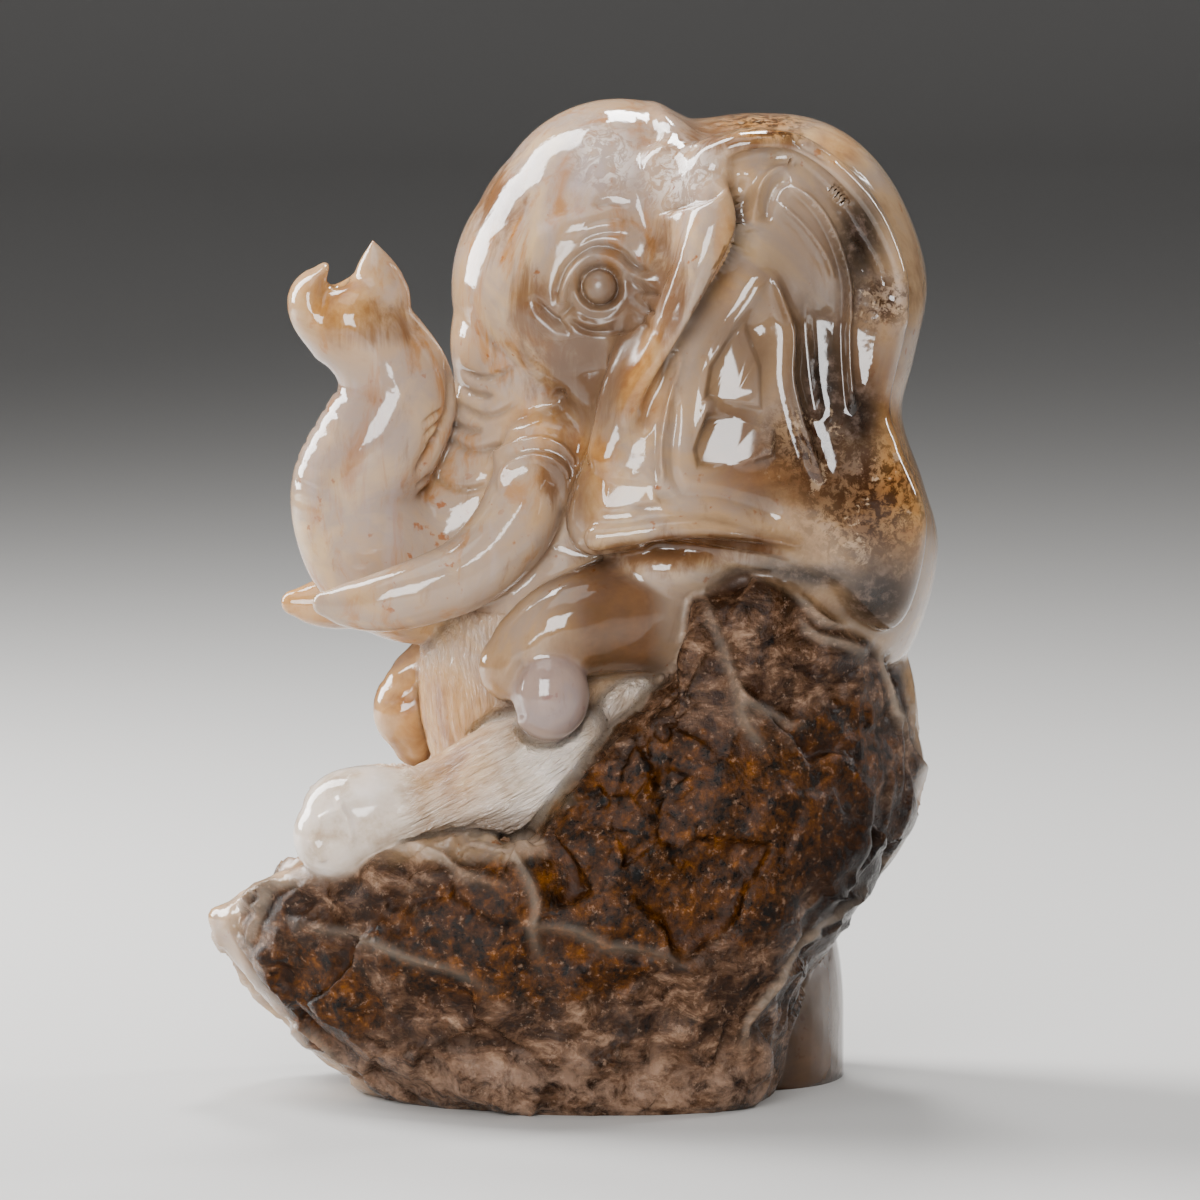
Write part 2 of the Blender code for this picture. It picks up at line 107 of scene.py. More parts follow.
def block_out(part, rings):
    """Keeps a closed form: an array of rings of points, with a face over each end."""
    count, sides = rings.shape[:2]
    i, j = np.meshgrid(np.arange(count - 1) * sides, np.arange(sides), indexing="ij")
    k = (j + 1) % sides
    quads = np.stack([i + j, i + k, i + k + sides, i + j + sides], axis=-1).reshape(-1, 4)
    ends = [list(range(sides))[::-1], list(range((count - 1) * sides, count * sides))]
    blocks.append((part, rings.reshape(-1, 3), quads.tolist() + ends))


def limb(part, stations, sides=36, steps=10, cap=7):
    """An ellipse carried along a path, with round ends: centre + deep cos t + wide sin t."""
    rows = smooth_curve(stations, steps)
    centre, radii = rows[:, :3], np.maximum(rows[:, 3:5], 0.15)
    along = np.gradient(centre, axis=0)
    along /= np.linalg.norm(along, axis=1)[:, None]
    bow = np.linspace(0, math.pi / 2, cap + 1)[1:, None]
    start = centre[0] - along[0] * radii[0].mean() * np.sin(bow)
    end = centre[-1] + along[-1] * radii[-1].mean() * np.sin(bow)
    centre = np.vstack([start[::-1], centre, end])
    radii = np.vstack([(radii[0] * np.cos(bow))[::-1], radii, radii[-1] * np.cos(bow)])
    along = np.vstack([np.repeat(along[:1], cap, axis=0), along, np.repeat(along[-1:], cap, axis=0)])
    across = np.array([0, 1, 0]) - along * along[:, 1:2]
    across /= np.linalg.norm(across, axis=1)[:, None]
    upright = np.cross(along, across)
    turn = np.linspace(0, 2 * math.pi, sides, endpoint=False)[None, :, None]
    deep, wide = np.maximum(radii, 0.02).T[:, :, None, None]
    rings = centre[:, None] + deep * np.cos(turn) * upright[:, None]
    block_out(part, rings + wide * np.sin(turn) * across[:, None])


def dome(part, centre, radii, lean=0.0):
    """A stretched sphere, leant in the middle plane: radius times (cos v cos u, cos v sin u, sin v)."""
    u = np.linspace(0, 2 * math.pi, 72, endpoint=False)[None, :]
    v = np.linspace(-1.555, 1.555, 45)[:, None]
    x, y, z = (
        r * s for r, s in zip(radii, (np.cos(v) * np.cos(u), np.cos(v) * np.sin(u), np.sin(v) + 0 * u))
    )
    c, s = math.cos(math.radians(lean)), math.sin(math.radians(lean))
    block_out(part, np.stack([x * c + z * s, y, z * c - x * s], axis=-1) + centre)


def slab(part, outline, centre, near, far, fullness, plan=((0, 1), (1, 1))):
    """A cushion grown out of an x, z outline: ring v is the outline shrunk by cos v to the
    power of the fullness, at a depth that goes with sin v; plan narrows it along x."""
    curve = smooth_curve(outline, 8, closed=True)[::-1]
    v = np.linspace(-1.55, 1.55, 61)[:, None]
    girth = np.cos(v) ** fullness
    x = centre[0] + (curve[:, 0] - centre[0]) * girth
    z = centre[1] + (curve[:, 1] - centre[1]) * girth
    y = (near + far) / 2 + (far - near) / 2 * np.sign(v) * np.abs(np.sin(v)) ** (2 * fullness)
    block_out(part, np.stack([x, y * np.interp(x, *zip(*plan)), z], axis=-1))


def mirrored(stations, side, drop=0.0, setback=0.0):
    """A limb given for +Y, put on the side asked for, with its free end hung lower."""
    return [
        (x + setback, side * y, z - drop * min(1.0, max(0.0, -x / 20)), *radii)
        for x, y, z, *radii in stations
    ]


dome("head", (2.2, 0, 121.5), (20.9, 22.6, 21.2))
dome("head", (4.5, 0, 125.7), (20.8, 22, 21))
dome("head", (6.6, 0, 129.9), (19.7, 20.4, 19.9))
dome("head", (3, 0, 106), (13, 17, 17), lean=-15)
for stations in (TRUNK, TRUNK_LIP, TRUNK_FINGER):
    limb("trunk", stations)
for side in (-1, 1):
    limb("tusk", mirrored(TUSK, side, FAR_TUSK_DROP * (side > 0), FAR_TUSK_REACH * (side > 0)))
    dome("head", (-4.5, side * 11, 96), (9, 8.5, 9))
    limb("head", mirrored(BROW, side))
    limb("head", mirrored(CHEEK, side))
    limb("head", mirrored(EAR_ROOT, side))

# Nape and ears: the back of the nodule is left full behind the head, and the two broad ears
# stand off it, each with a rolled front edge, a margin round the top and a hem below.
BACK_OUTLINE = [
    (10, 147.8), (18, 146.6), (27, 147.4), (36, 146.6), (43, 142.8), (49, 135), (53, 123), (51, 112),
    (48.8, 102.5), (52.5, 91.5), (55, 81), (51, 67), (43, 60), (28, 62), (18, 74), (15, 95), (14, 120),
]
BACK_CENTRE = (30, 104)
BACK_PLAN = [(0, 1), (34, 1), (44, 0.92), (50, 0.76), (55, 0.55)]
EAR_OUTLINE = [
    (13.5, 143), (19.5, 146), (26, 146.5), (33, 144), (40, 138), (45, 129), (46.8, 120), (44, 106),
    (45.5, 99.5), (49.5, 88), (47, 74.5), (42, 71.5), (33, 78), (21, 80.3), (9, 84), (-2, 83.5), (-4.4, 90),
    (0, 102), (6, 115), (9.4, 130),
]
EAR_CENTRE = (28, 104)
FAR_EAR_SCALE, FAR_EAR_INSET = 0.96, 1
EAR_ROLL = [
    (18, 26.4, 138, 2.6, 3), (17.6, 29.6, 135, 4.4, 4.8), (16.8, 31.2, 131, 5.4, 5.4),
    (14, 31.6, 124.6, 4.4, 4.8), (10, 31, 117.4, 3.2, 3.9), (5.8, 30, 110.4, 2, 2.8),
    (2.6, 28.8, 104, 1.2, 1.6),
]
EAR_MARGIN = [
    (16, 26, 142.6, 2, 3), (20.8, 27.5, 144.4, 2, 3), (26, 28, 144.6, 2, 3), (30.2, 28, 143.4, 2.1, 3),
    (35.6, 28, 139.4, 2.1, 3), (40.6, 28, 133.4, 2, 3), (44, 27.6, 125.4, 1.8, 3),
    (44.8, 27, 118.5, 1.4, 2.4),
]
EAR_HEM = [
    (-1, 29.6, 86.4, 2, 2), (3.4, 30.2, 87, 1.8, 2.2), (9, 30.6, 87.8, 1.8, 2.5), (14.4, 30.6, 88, 1.7, 2.6),
    (20, 30.4, 87.2, 1.5, 2.4), (26, 29.8, 85.8, 1.3, 2.2), (31, 28.6, 84.4, 0.8, 1.4),
]
FAR_EAR_CURL = [
    (40, 18, 120, 2, 5), (45, 20, 112, 3.6, 6), (48, 20, 103, 5, 7), (46, 19, 94, 4.4, 6),
    (42, 18, 86, 2, 5),
]

slab("ear", BACK_OUTLINE, BACK_CENTRE, -29, 29, 0.46, BACK_PLAN)
slab("ear", EAR_OUTLINE, EAR_CENTRE, -31, -14, 0.36)
far_outline = (np.array(EAR_OUTLINE) - EAR_CENTRE) * FAR_EAR_SCALE + EAR_CENTRE
slab("ear", far_outline, EAR_CENTRE, 14, 30, 0.36)
cx, cz = EAR_CENTRE
for stations in (EAR_ROLL, EAR_MARGIN, EAR_HEM):
    part = "roll" if stations is EAR_ROLL else "ear"
    limb(part, mirrored(stations, -1))
    limb(part, [
        (cx + (x - cx) * FAR_EAR_SCALE, y - FAR_EAR_INSET, cz + (z - cz) * FAR_EAR_SCALE, *radii)
        for x, y, z, *radii in stations
    ])
limb("ear", FAR_EAR_CURL)

# Body and limbs: the chest and belly lean back in the hollow of the rock, the arms hang
# over its wall, the near one ending in a round toe pad, and the hind legs reach forwards.
NEAR_ARM = [
    (14, -16, 72.4, 8.5, 8), (5.4, -20, 74, 9, 8.8), (-3.6, -22.5, 72.4, 8, 8.2), (-9.2, -23, 69.3, 6.8, 7),
    (-12, -23, 66.8, 5.6, 6),
]
FAR_ARM = [
    (10, 16, 72, 8.5, 8), (-2.7, 19.5, 70.5, 8.2, 8), (-14, 16.5, 65.5, 6.6, 6.6),
    (-21.8, 12.5, 61.2, 5, 5.6),
]
FAR_FOOT = [
    (-21.4, 10, 64.6, 1.6, 4), (-23.8, 10.5, 60.4, 4.2, 5.4), (-25, 11, 56, 4.6, 6),
    (-23.6, 12, 51.8, 3.2, 5),
]
HIND_LEG = [
    (9, 13, 54, 11, 10), (-3.6, 18, 51.5, 10, 9), (-13.1, 20, 49.6, 8.8, 8.4), (-21.2, 20, 47.2, 6.5, 7),
    (-26.4, 20, 46, 5.7, 6.6), (-32.6, 19.5, 45.2, 6.8, 7.4), (-36.6, 19, 43.8, 7.6, 7.5),
    (-38.6, 19, 41.6, 6.6, 6.8),
]
FAR_LEG_SETBACK, FAR_LEG_DROP = 5, 4.6

dome("belly", (-1.2, 0, 61), (22.4, 23, 30), lean=-6)
dome("belly", (2, 0, 86), (15, 17, 18))
limb("arm", NEAR_ARM)
dome("pad", (-7.6, -27, 62.9), (6.1, 5.8, 6.9))
limb("arm", FAR_ARM)
limb("foot", FAR_FOOT)
limb("leg", mirrored(HIND_LEG, -1))
limb("leg", mirrored(HIND_LEG, 1, FAR_LEG_DROP, FAR_LEG_SETBACK))
for side in (-1, 1):
    dome("thigh", (5.4, side * 19, 58.4), (6.6, 7, 6.6))
    dome("ear", (12, side * 21, 81), (10, 7.5, 5))

# Rock: the nodule's own weathered crust, left rough in form and polished as it is. It makes
# the seat, a wall up each side of the animal and a prow under its feet, on a smooth heel.
ROCK_WALL_OUTLINE = [
    (-53, 29), (-47, 35.5), (-34, 40), (-22, 42.3), (-16, 41.6), (-13, 39.4), (-6, 49), (3, 58),
    (11.5, 66.5), (13, 76), (17, 79.6), (30, 79.7), (39, 73), (45.5, 66), (47.8, 53.6), (45.2, 42),
    (35, 27.5), (27.5, 16.5), (24.3, 3), (16, -4), (6, -8), (-9, -3), (-25, 3.6), (-40, 11.5), (-51, 22.5),
]
ROCK_CORE_OUTLINE = [
    (-55.7, 25.8), (-52, 29.6), (-42, 32.2), (-28, 35), (-10, 36), (4, 43.6), (17, 59.5), (29, 68),
    (40, 70.6), (49, 69), (52, 58), (52.6, 46), (46.4, 33.5), (37, 21.8), (32, 11.5), (29.4, -0.4),
    (24, -7.5), (2, -9), (-19, -6.4), (-34.5, 1.6), (-45.5, 11.5),
]
ROCK_CENTRE = (4, 24)
ROCK_PLAN = [
    (-57, 0.1), (-52, 0.36), (-44, 0.62), (-32, 0.84), (-15, 0.97), (5, 1), (25, 0.98), (40, 0.84),
    (49, 0.6), (54, 0.36),
]
FAR_WALL_SCALE, FAR_WALL_DROP = 0.95, 4
HEEL = [(27.4, 11, -6, 15, 19), (27.4, 10, 6, 15, 20), (27, 9, 17, 14.8, 20), (26, 8, 30, 13, 18)]

dome("rock", (-10, -26, 37.6), (6, 7, 4.4))
slab("rock", ROCK_CORE_OUTLINE, ROCK_CENTRE, -33, 33, 0.45, ROCK_PLAN)
slab("rock", ROCK_WALL_OUTLINE, ROCK_CENTRE, -35, -12, 0.4, ROCK_PLAN)
far_wall = [(4 + (x - 4) * FAR_WALL_SCALE, z - FAR_WALL_DROP) for x, z in ROCK_WALL_OUTLINE]
slab("rock", far_wall, ROCK_CENTRE, 12, 34, 0.42, ROCK_PLAN)
limb("heel", HEEL)

# One stone: the blocks are fused into a single skin, which remembers which block each place
# came from. The skin is trued to the width of the nodule, and its creases are rubbed round.
GRAIN = 0.42
PARTS = (
    "head", "trunk", "tusk", "roll", "ear", "belly", "arm", "pad", "foot", "leg", "thigh", "rock", "heel")
GIRTH = [
    (-10, 0.9), (0, 0.92), (12, 0.98), (28, 1.03), (46, 1.02), (64, 0.96), (84, 1), (110, 1), (150, 0.97),
    (160, 0.96),
]
RUBBING = {"head": 24, "belly": 18, "ear": 10, "rest": 5}
CREASE_LEFT = 0.012
EAR_ROOT_LINE = [(12.6, 142), (12, 132), (10.6, 124), (6.8, 115), (2, 104)]
ROOT_RUBBED_WIDE, ROOT_RUBBINGS = 4, 70


def placed(name, data):
    """A new object in the scene."""
    obj = bpy.data.objects.new(name, data)
    bpy.context.scene.collection.objects.link(obj)
    return obj


def fused_skin():
    """All blocks in one mesh, voxel remeshed; each point takes the number of the nearest block."""
    sizes = [len(points) for _, points, _ in blocks]
    firsts = np.cumsum([0] + sizes)
    faces = [
        [first + corner for corner in face] for first, (_, _, form) in zip(firsts, blocks) for face in form
    ]
    rough = bpy.data.meshes.new("blocks")
    rough.from_pydata(np.vstack([points for _, points, _ in blocks]) * unit, [], faces)
    numbers = np.repeat([PARTS.index(part) for part, _, _ in blocks], sizes).astype(np.float32)
    rough.attributes.new("part", "FLOAT", "POINT").data.foreach_set("value", numbers)
    source, copy = (placed(name, rough) for name in ("blocks", "blocks_to_fuse"))
    fuse = copy.modifiers.new("fuse", "REMESH")
    fuse.mode = "VOXEL"
    fuse.voxel_size = GRAIN * unit
    tree = bpy.data.node_groups.new("remember_the_part", "GeometryNodeTree")
    for way in ("INPUT", "OUTPUT"):
        tree.interface.new_socket("Geometry", in_out=way, socket_type="NodeSocketGeometry")
    came_in, goes_out, blocks_info, part, nearest, store = (tree.nodes.new(kind) for kind in (
        "NodeGroupInput", "NodeGroupOutput", "GeometryNodeObjectInfo", "GeometryNodeInputNamedAttribute",
        "GeometryNodeSampleNearestSurface", "GeometryNodeStoreNamedAttribute"))
    blocks_info.inputs["Object"].default_value = source
    part.data_type = nearest.data_type = store.data_type = "FLOAT"
    part.inputs["Name"].default_value = store.inputs["Name"].default_value = "part"
    store.domain = "POINT"
    for output, entry in (
        (blocks_info.outputs["Geometry"], nearest.inputs["Mesh"]),
        (part.outputs["Attribute"], nearest.inputs["Value"]),
        (nearest.outputs["Value"], store.inputs["Value"]),
        (came_in.outputs[0], store.inputs["Geometry"]), (store.outputs["Geometry"], goes_out.inputs[0]),
    ):
        tree.links.new(output, entry)
    copy.modifiers.new("remember", "NODES").node_group = tree
    bpy.context.view_layer.update()
    fused = bpy.data.meshes.new_from_object(copy.evaluated_get(bpy.context.evaluated_depsgraph_get()))
    for obj in (source, copy):
        bpy.data.objects.remove(obj)
    bpy.data.meshes.remove(rough)
    bpy.data.node_groups.remove(tree)
    return fused


def read(rows, name, width, kind=np.float32):
    """A column of a mesh's numbers as an array."""
    values = np.empty(len(rows) * width, kind)
    rows.foreach_get(name, values)
    return values.reshape(-1, width) if width > 1 else values


def split(points, corners, picked, *marks):
    """Each picked triangle becomes four through the middles of its edges, and its neighbours
    two or three, so that no gap opens. The marks are carried to the new points."""
    edges = np.sort(corners[:, [[0, 1], [1, 2], [2, 0]]], axis=2)
    keys = edges[..., 0].astype(np.int64) * len(points) + edges[..., 1]
    cut = np.unique(keys[picked])
    slot = np.minimum(np.searchsorted(cut, keys), len(cut) - 1)
    is_cut = cut[slot] == keys
    middle = np.where(is_cut, slot + len(points), -1)
    a, b = cut // len(points), cut % len(points)
    marks = [np.concatenate([mark, (mark[a] + mark[b]) / 2]) for mark in (points, *marks)]
    cuts = is_cut.sum(axis=1)
    turn = np.where(cuts == 2, (~is_cut).argmax(axis=1) + 1, 0)
    turn = np.where(cuts == 1, is_cut.argmax(axis=1), turn) % 3
    order = (np.arange(3) + turn[:, None]) % 3
    p, q, r = np.take_along_axis(corners, order, axis=1).T
    pq, qr, rp = np.take_along_axis(middle, order, axis=1).T
    patterns = {0: [(p, q, r)], 1: [(p, pq, r), (pq, q, r)], 2: [(pq, q, qr), (p, pq, qr), (p, qr, r)],
                3: [(p, pq, rp), (pq, q, qr), (rp, qr, r), (pq, qr, rp)]}
    corners = np.vstack([
        np.stack(triangle, axis=1)[cuts == count]
        for count, triangles in patterns.items() for triangle in triangles
    ])
    return (corners, *marks)


def neighbours(corners, count):
    """The two ends of every edge, and how many edges meet at each point."""
    starts, ends = np.unique(np.sort(corners[:, [[0, 1], [1, 2], [2, 0]]].reshape(-1, 2), axis=1), axis=0).T
    return starts, ends, np.bincount(starts, minlength=count) + np.bincount(ends, minlength=count)


def around(values, times, share=1.0):
    """Each point's value moved towards the mean of its neighbours' values, times over."""
    values = values.reshape(len(values), -1).astype(float)
    for _ in range(times):
        total = np.stack([
            np.bincount(starts, column[ends], len(column)) + np.bincount(ends, column[starts], len(column))
            for column in values.T
        ], axis=1)
        values = values + share * (total / valence[:, None] - values)
    return values


def facing(points):
    """The outward direction at each point: the sum of the cross products of its triangles."""
    a, b, c = (points[corners[:, i]] for i in range(3))
    flat = np.cross(b - a, c - a)
    total = np.stack([
        sum(np.bincount(corners[:, i], flat[:, axis], len(points)) for i in range(3)) for axis in range(3)
    ], axis=1)
    return total / np.maximum(np.linalg.norm(total, axis=1), 1e-9)[:, None]


skin = fused_skin()
points = read(skin.vertices, "co", 3) / unit
part_number = np.round(read(skin.attributes["part"].data, "value", 1))
quads = read(skin.loops, "vertex_index", 1, np.int32).reshape(-1, 4)
bpy.data.meshes.remove(skin)
corners = np.vstack([quads[:, [0, 1, 2]], quads[:, [0, 2, 3]]])
starts, ends, valence = neighbours(corners, len(points))
shares = [around(np.abs(part_number - place) < 0.4, 5)[:, 0] for place in range(len(PARTS))]
share_of = dict(zip(PARTS, shares))

points[:, 1] *= np.interp(points[:, 2], *smooth_curve(GIRTH, 6).T)
points = around(points, 3, 0.5)
rubbing = RUBBING["rest"] + sum(
    share_of[part] * (times - RUBBING["rest"]) for part, times in RUBBING.items() if part != "rest")
for turn in range(max(RUBBING.values())):
    outward = facing(points)
    hollow = ((around(points, 1) - points) * outward).sum(axis=1)
    points = points + outward * (0.8 * np.maximum(hollow - CREASE_LEFT, 0) * (rubbing > turn))[:, None]
off_root = np.min([
    np.hypot(points[:, 0] - px, points[:, 2] - pz) for px, pz in smooth_curve(EAR_ROOT_LINE, 4)
], axis=0)
rubbed = np.exp(-((off_root / ROOT_RUBBED_WIDE) ** 2)) * (np.abs(points[:, 1]) > 15)
for _ in range(ROOT_RUBBINGS):
    points = points + rubbed[:, None] * (around(points, 1) - points)

middles = points[corners].mean(axis=1)
picked = (middles[:, 1] < -10) & (middles[:, 0] < 46) & (middles[:, 2] > 84)
picked |= (middles[:, 1] < -12) & (middles[:, 0] < 14) & (middles[:, 2] > 38)
picked |= np.hypot(middles[:, 0] - EYE[0], middles[:, 2] - EYE[1]) < 8
corners, points, *shares = split(points, corners, picked, *shares)
share_of = dict(zip(PARTS, shares))
starts, ends, valence = neighbours(corners, len(points))
points = around(points, 2, 0.5)

# Carving: folds and creases are cut with a burr along lines drawn on the animal's sides,
# as grooves and crests, and where one sheet of skin laps another as steps.
x, y, z = points.T
side_view = points[:, [0, 2]]
outward = facing(around(points, 8))
sideways = np.clip(np.abs(outward[:, 1]) * 2.2, 0, 1)
depth_of = np.abs(y)
shift = np.zeros(len(points))


def on(*parts):
    """How much each point belongs to the parts named."""
    return sum(share_of[part] for part in parts)


def beside(line, reach, where):
    """The points within reach of a smooth line in the side view: their places in the list, their
    distance from it, positive to the left of its run, and how far along it they are, 0 to 1."""
    curve = smooth_curve(line, 6)
    span = curve[1:] - curve[:-1]
    inside = (side_view > curve.min(axis=0) - reach) & (side_view < curve.max(axis=0) + reach)
    here = np.flatnonzero(inside.all(axis=1) & (where > 0.01))
    away = side_view[here][:, None] - curve[:-1]
    share = np.clip((away * span).sum(axis=2) / (span**2).sum(axis=1), 0, 1)
    gap = np.linalg.norm(away - share[..., None] * span, axis=2)
    best = gap.argmin(axis=1)
    row = np.arange(len(here))
    left = np.sign(span[best, 0] * away[row, best, 1] - span[best, 1] * away[row, best, 0])
    return here, gap[row, best] * left, (best + share[row, best]) / len(span)


def stroke(line, width, height, where, step=0.0, taper=0.14):
    """Cuts along a line: height times exp(-(distance / width)^2), and a step that raises the
    left bank and sinks the right one, both fading at the line's ends."""
    here, gap, along = beside(line, 4 * width, where)
    fade = np.clip(np.minimum(along, 1 - along) / taper, 0, 1)
    fade = where[here] * fade * fade * (3 - 2 * fade)
    bank = step * np.tanh(3 * gap / width) * np.exp(-((gap / (2 * width)) ** 2))
    shift[here] += fade * (height * np.exp(-((gap / width) ** 2)) + bank)


# Eyes: a round ball sunk in its lids, a tear fold under it, and wrinkles over the brow and
# from the outer corner, on a head whose temples are hollowed before the ears.
BALL_AND_LIDS = [
    (0, 2), (0.7, 1.92), (1.4, 1.6), (2, 1.05), (2.4, 0.4), (2.65, -0.4), (2.85, -1.2), (3.05, -1),
    (3.35, 0.1), (3.8, 0.5), (4.4, 0.3), (5, 0), (6.2, -0.1), (7.5, 0),
]
UPPER_LID = [
    (-4.7, 119.9), (-4.4, 122.4), (-3.2, 125.2), (-1.3, 127), (0.6, 127.6), (2.8, 127), (4.8, 125.2),
    (6.8, 124), (9, 123.8),
]
LID_CREASE = [
    (-6, 120), (-5.7, 123), (-4.3, 126.4), (-1.6, 128.7), (0.9, 129.3), (3.7, 128.5), (6, 126.3),
    (8.5, 125.1),
]
LOWER_LID = [(-3.6, 119.4), (-1.8, 118), (0.4, 117.6), (2.8, 118.4), (4.6, 120.2), (5.4, 122)]
EYE_BAG = [(-4.8, 118.8), (-2, 116.7), (0.8, 116.2), (3.9, 117.2), (6.1, 119.5), (7, 122)]
TEAR_FOLD = [(-9.5, 122), (-7.7, 119.8), (-5.4, 117.7), (-2.8, 115.9)]
TEAR_BANK = [(-10.3, 120.5), (-8.5, 118.3), (-6, 116.1), (-3.3, 114.6)]
KNOB_FOLD = [(8.4, 133.4), (11.6, 135.2), (15, 137), (19.4, 139.4)]
INNER_CORNER = [(-5.9, 117.8), (-4.6, 119.2), (-3.2, 120.6)]
ORBIT = [(5, 134.6), (7.4, 132.6), (9.6, 128.8), (10.8, 124.2), (10, 119), (8, 114.6), (5.4, 110)]
BROW_LINES = [
    [(-3.6, 128.6), (-0.8, 130.6), (2.6, 131.3), (5.9, 130.5)],
    [(-2.3, 131.7), (0.7, 133.1), (4.1, 133.4), (6.9, 132.4)], [(-0.8, 134.7), (2.6, 135.6), (5.9, 134.9)],
]
CORNER_LINES = [
    [(5.3, 123), (7, 122.7), (9, 122.4)], [(4.9, 121.4), (6.7, 120.4), (8.3, 119.2)],
    [(4.3, 120), (6.1, 118.4), (7.6, 116.6)],
]

on_head = on("head", "trunk", "ear", "roll") * sideways * (depth_of > 12)
from_eye = np.hypot(x - EYE[0], z - EYE[1])
shift -= 0.6 * np.exp(-((from_eye / 6.5) ** 2)) * on_head
shift += np.interp(from_eye, *smooth_curve(BALL_AND_LIDS, 5).T) * on_head
stroke(UPPER_LID, 0.7, 0.9, on_head, step=0.3, taper=0.1)
stroke(LID_CREASE, 0.45, -0.9, on_head)
stroke(LOWER_LID, 0.55, 0.7, on_head)
stroke(EYE_BAG, 0.45, -0.75, on_head)
stroke(TEAR_FOLD, 0.6, -1.3, on_head, step=0.3, taper=0.35)
stroke(TEAR_BANK, 0.9, 0.5, on_head, taper=0.35)
stroke(INNER_CORNER, 0.45, -0.6, on_head)
stroke(ORBIT, 1.6, -0.6, on_head, taper=0.3)
stroke(KNOB_FOLD, 0.6, -0.8, on_head, step=-0.4, taper=0.3)
for line in BROW_LINES:
    stroke(line, 0.45, -0.4, on_head, taper=0.3)
for line in CORNER_LINES:
    stroke(line, 0.4, -0.5, on_head, taper=0.3)

# Trunk and tusks: rings cross the root of the trunk, a deep crease parts it from the raised
# end, short cuts hatch its bends, and each tusk comes out of a folded sleeve of skin.
TRUNK_RINGS = [
    [(-19.4, 110.6), (-16.6, 109), (-13.8, 109.2), (-10.2, 111.6)],
    [(-19.4, 105), (-16, 103.2), (-13, 103.6), (-9.8, 106)],
    [(-20.2, 100), (-17.8, 98), (-14.7, 98.2), (-11.4, 100)],
    [(-22.8, 95.2), (-20.4, 92.6), (-16.8, 92.2), (-13.6, 93.6)],
    [(-19, 107.8), (-16.2, 106.2), (-13.6, 106.4)], [(-19.8, 102.2), (-17.4, 100.8), (-15, 101.2)],
]
TRUNK_CREASE = [(-20.4, 113.2), (-19.6, 109.6), (-19.8, 105.3), (-21, 101.5), (-23.2, 97.7), (-26, 93.6)]
TRUNK_HATCHING = [
    [(-21, 104.4), (-22.8, 103.7), (-25.3, 102.1)], [(-20.7, 102.9), (-22.5, 102), (-25, 100.2)],
    [(-20.7, 101.1), (-22.4, 100.2), (-24.7, 98.4)], [(-21.6, 99.3), (-23.1, 98.4), (-25, 96.7)],
    [(-22.5, 94.4), (-24.1, 93.5), (-25.9, 92.3)], [(-21.9, 92.8), (-23.5, 92), (-25.6, 90.6)],
    [(-38.6, 108.2), (-35.6, 105.4)], [(-40.2, 105.2), (-37, 102.8)], [(-41.6, 102.4), (-38, 100.2)],
    [(-42.6, 99.6), (-38.8, 97.6)], [(-43.4, 96.6), (-39.4, 94.8)], [(-43.8, 93.6), (-39.6, 92)],
    [(-43.8, 90.6), (-39.6, 89.2)], [(-43.4, 87.4), (-39.4, 86.2)], [(-42.6, 84.2), (-38.8, 83.4)],
    [(-41, 81), (-37.4, 80.6)],
]
TUSK_SLEEVES = [
    [(-14.6, 91.6), (-13.2, 95.5), (-10.5, 97.5), (-7.3, 97.9), (-4.7, 96.6), (-3.1, 93.7), (-2.8, 89)],
    [(-15.4, 94.7), (-13.7, 97.9), (-10.9, 99.8), (-7.3, 100.4), (-4.2, 99), (-2.2, 95.6), (-1.9, 90.5)],
]
CHEEK_PIT = (-4.5, 106.1)
NOSTRIL = (-36.6, -5.5, 123.6)

on_trunk = share_of["trunk"] + 0.6 * share_of["head"] * (z < 116)
for line in TRUNK_RINGS:
    stroke(line, 0.5, -0.75, on_trunk * sideways, step=0.25, taper=0.3)
stroke(TRUNK_CREASE, 0.8, -1.2, on_trunk * sideways, step=0.4)
for line in TRUNK_HATCHING:
    stroke(line, 0.35, -0.22 if line[0][0] < -38 else -0.55, share_of["trunk"] * (y < 6), taper=0.3)
on_sleeve = on("head", "tusk", "trunk", "belly") * (depth_of > 8)
for line, height in zip(TUSK_SLEEVES, (0.8, 0.5)):
    stroke(line, 0.6, height, on_sleeve, step=-0.6)
pit = np.hypot((x - CHEEK_PIT[0]) / 0.7, (z - CHEEK_PIT[1]) / 1.5)
shift -= 0.9 * np.exp(-(pit**2)) * (y < -8)
shift -= 2.2 * np.exp(-(np.linalg.norm((points - NOSTRIL) / (1.3, 2.8, 2.2), axis=1) ** 2))

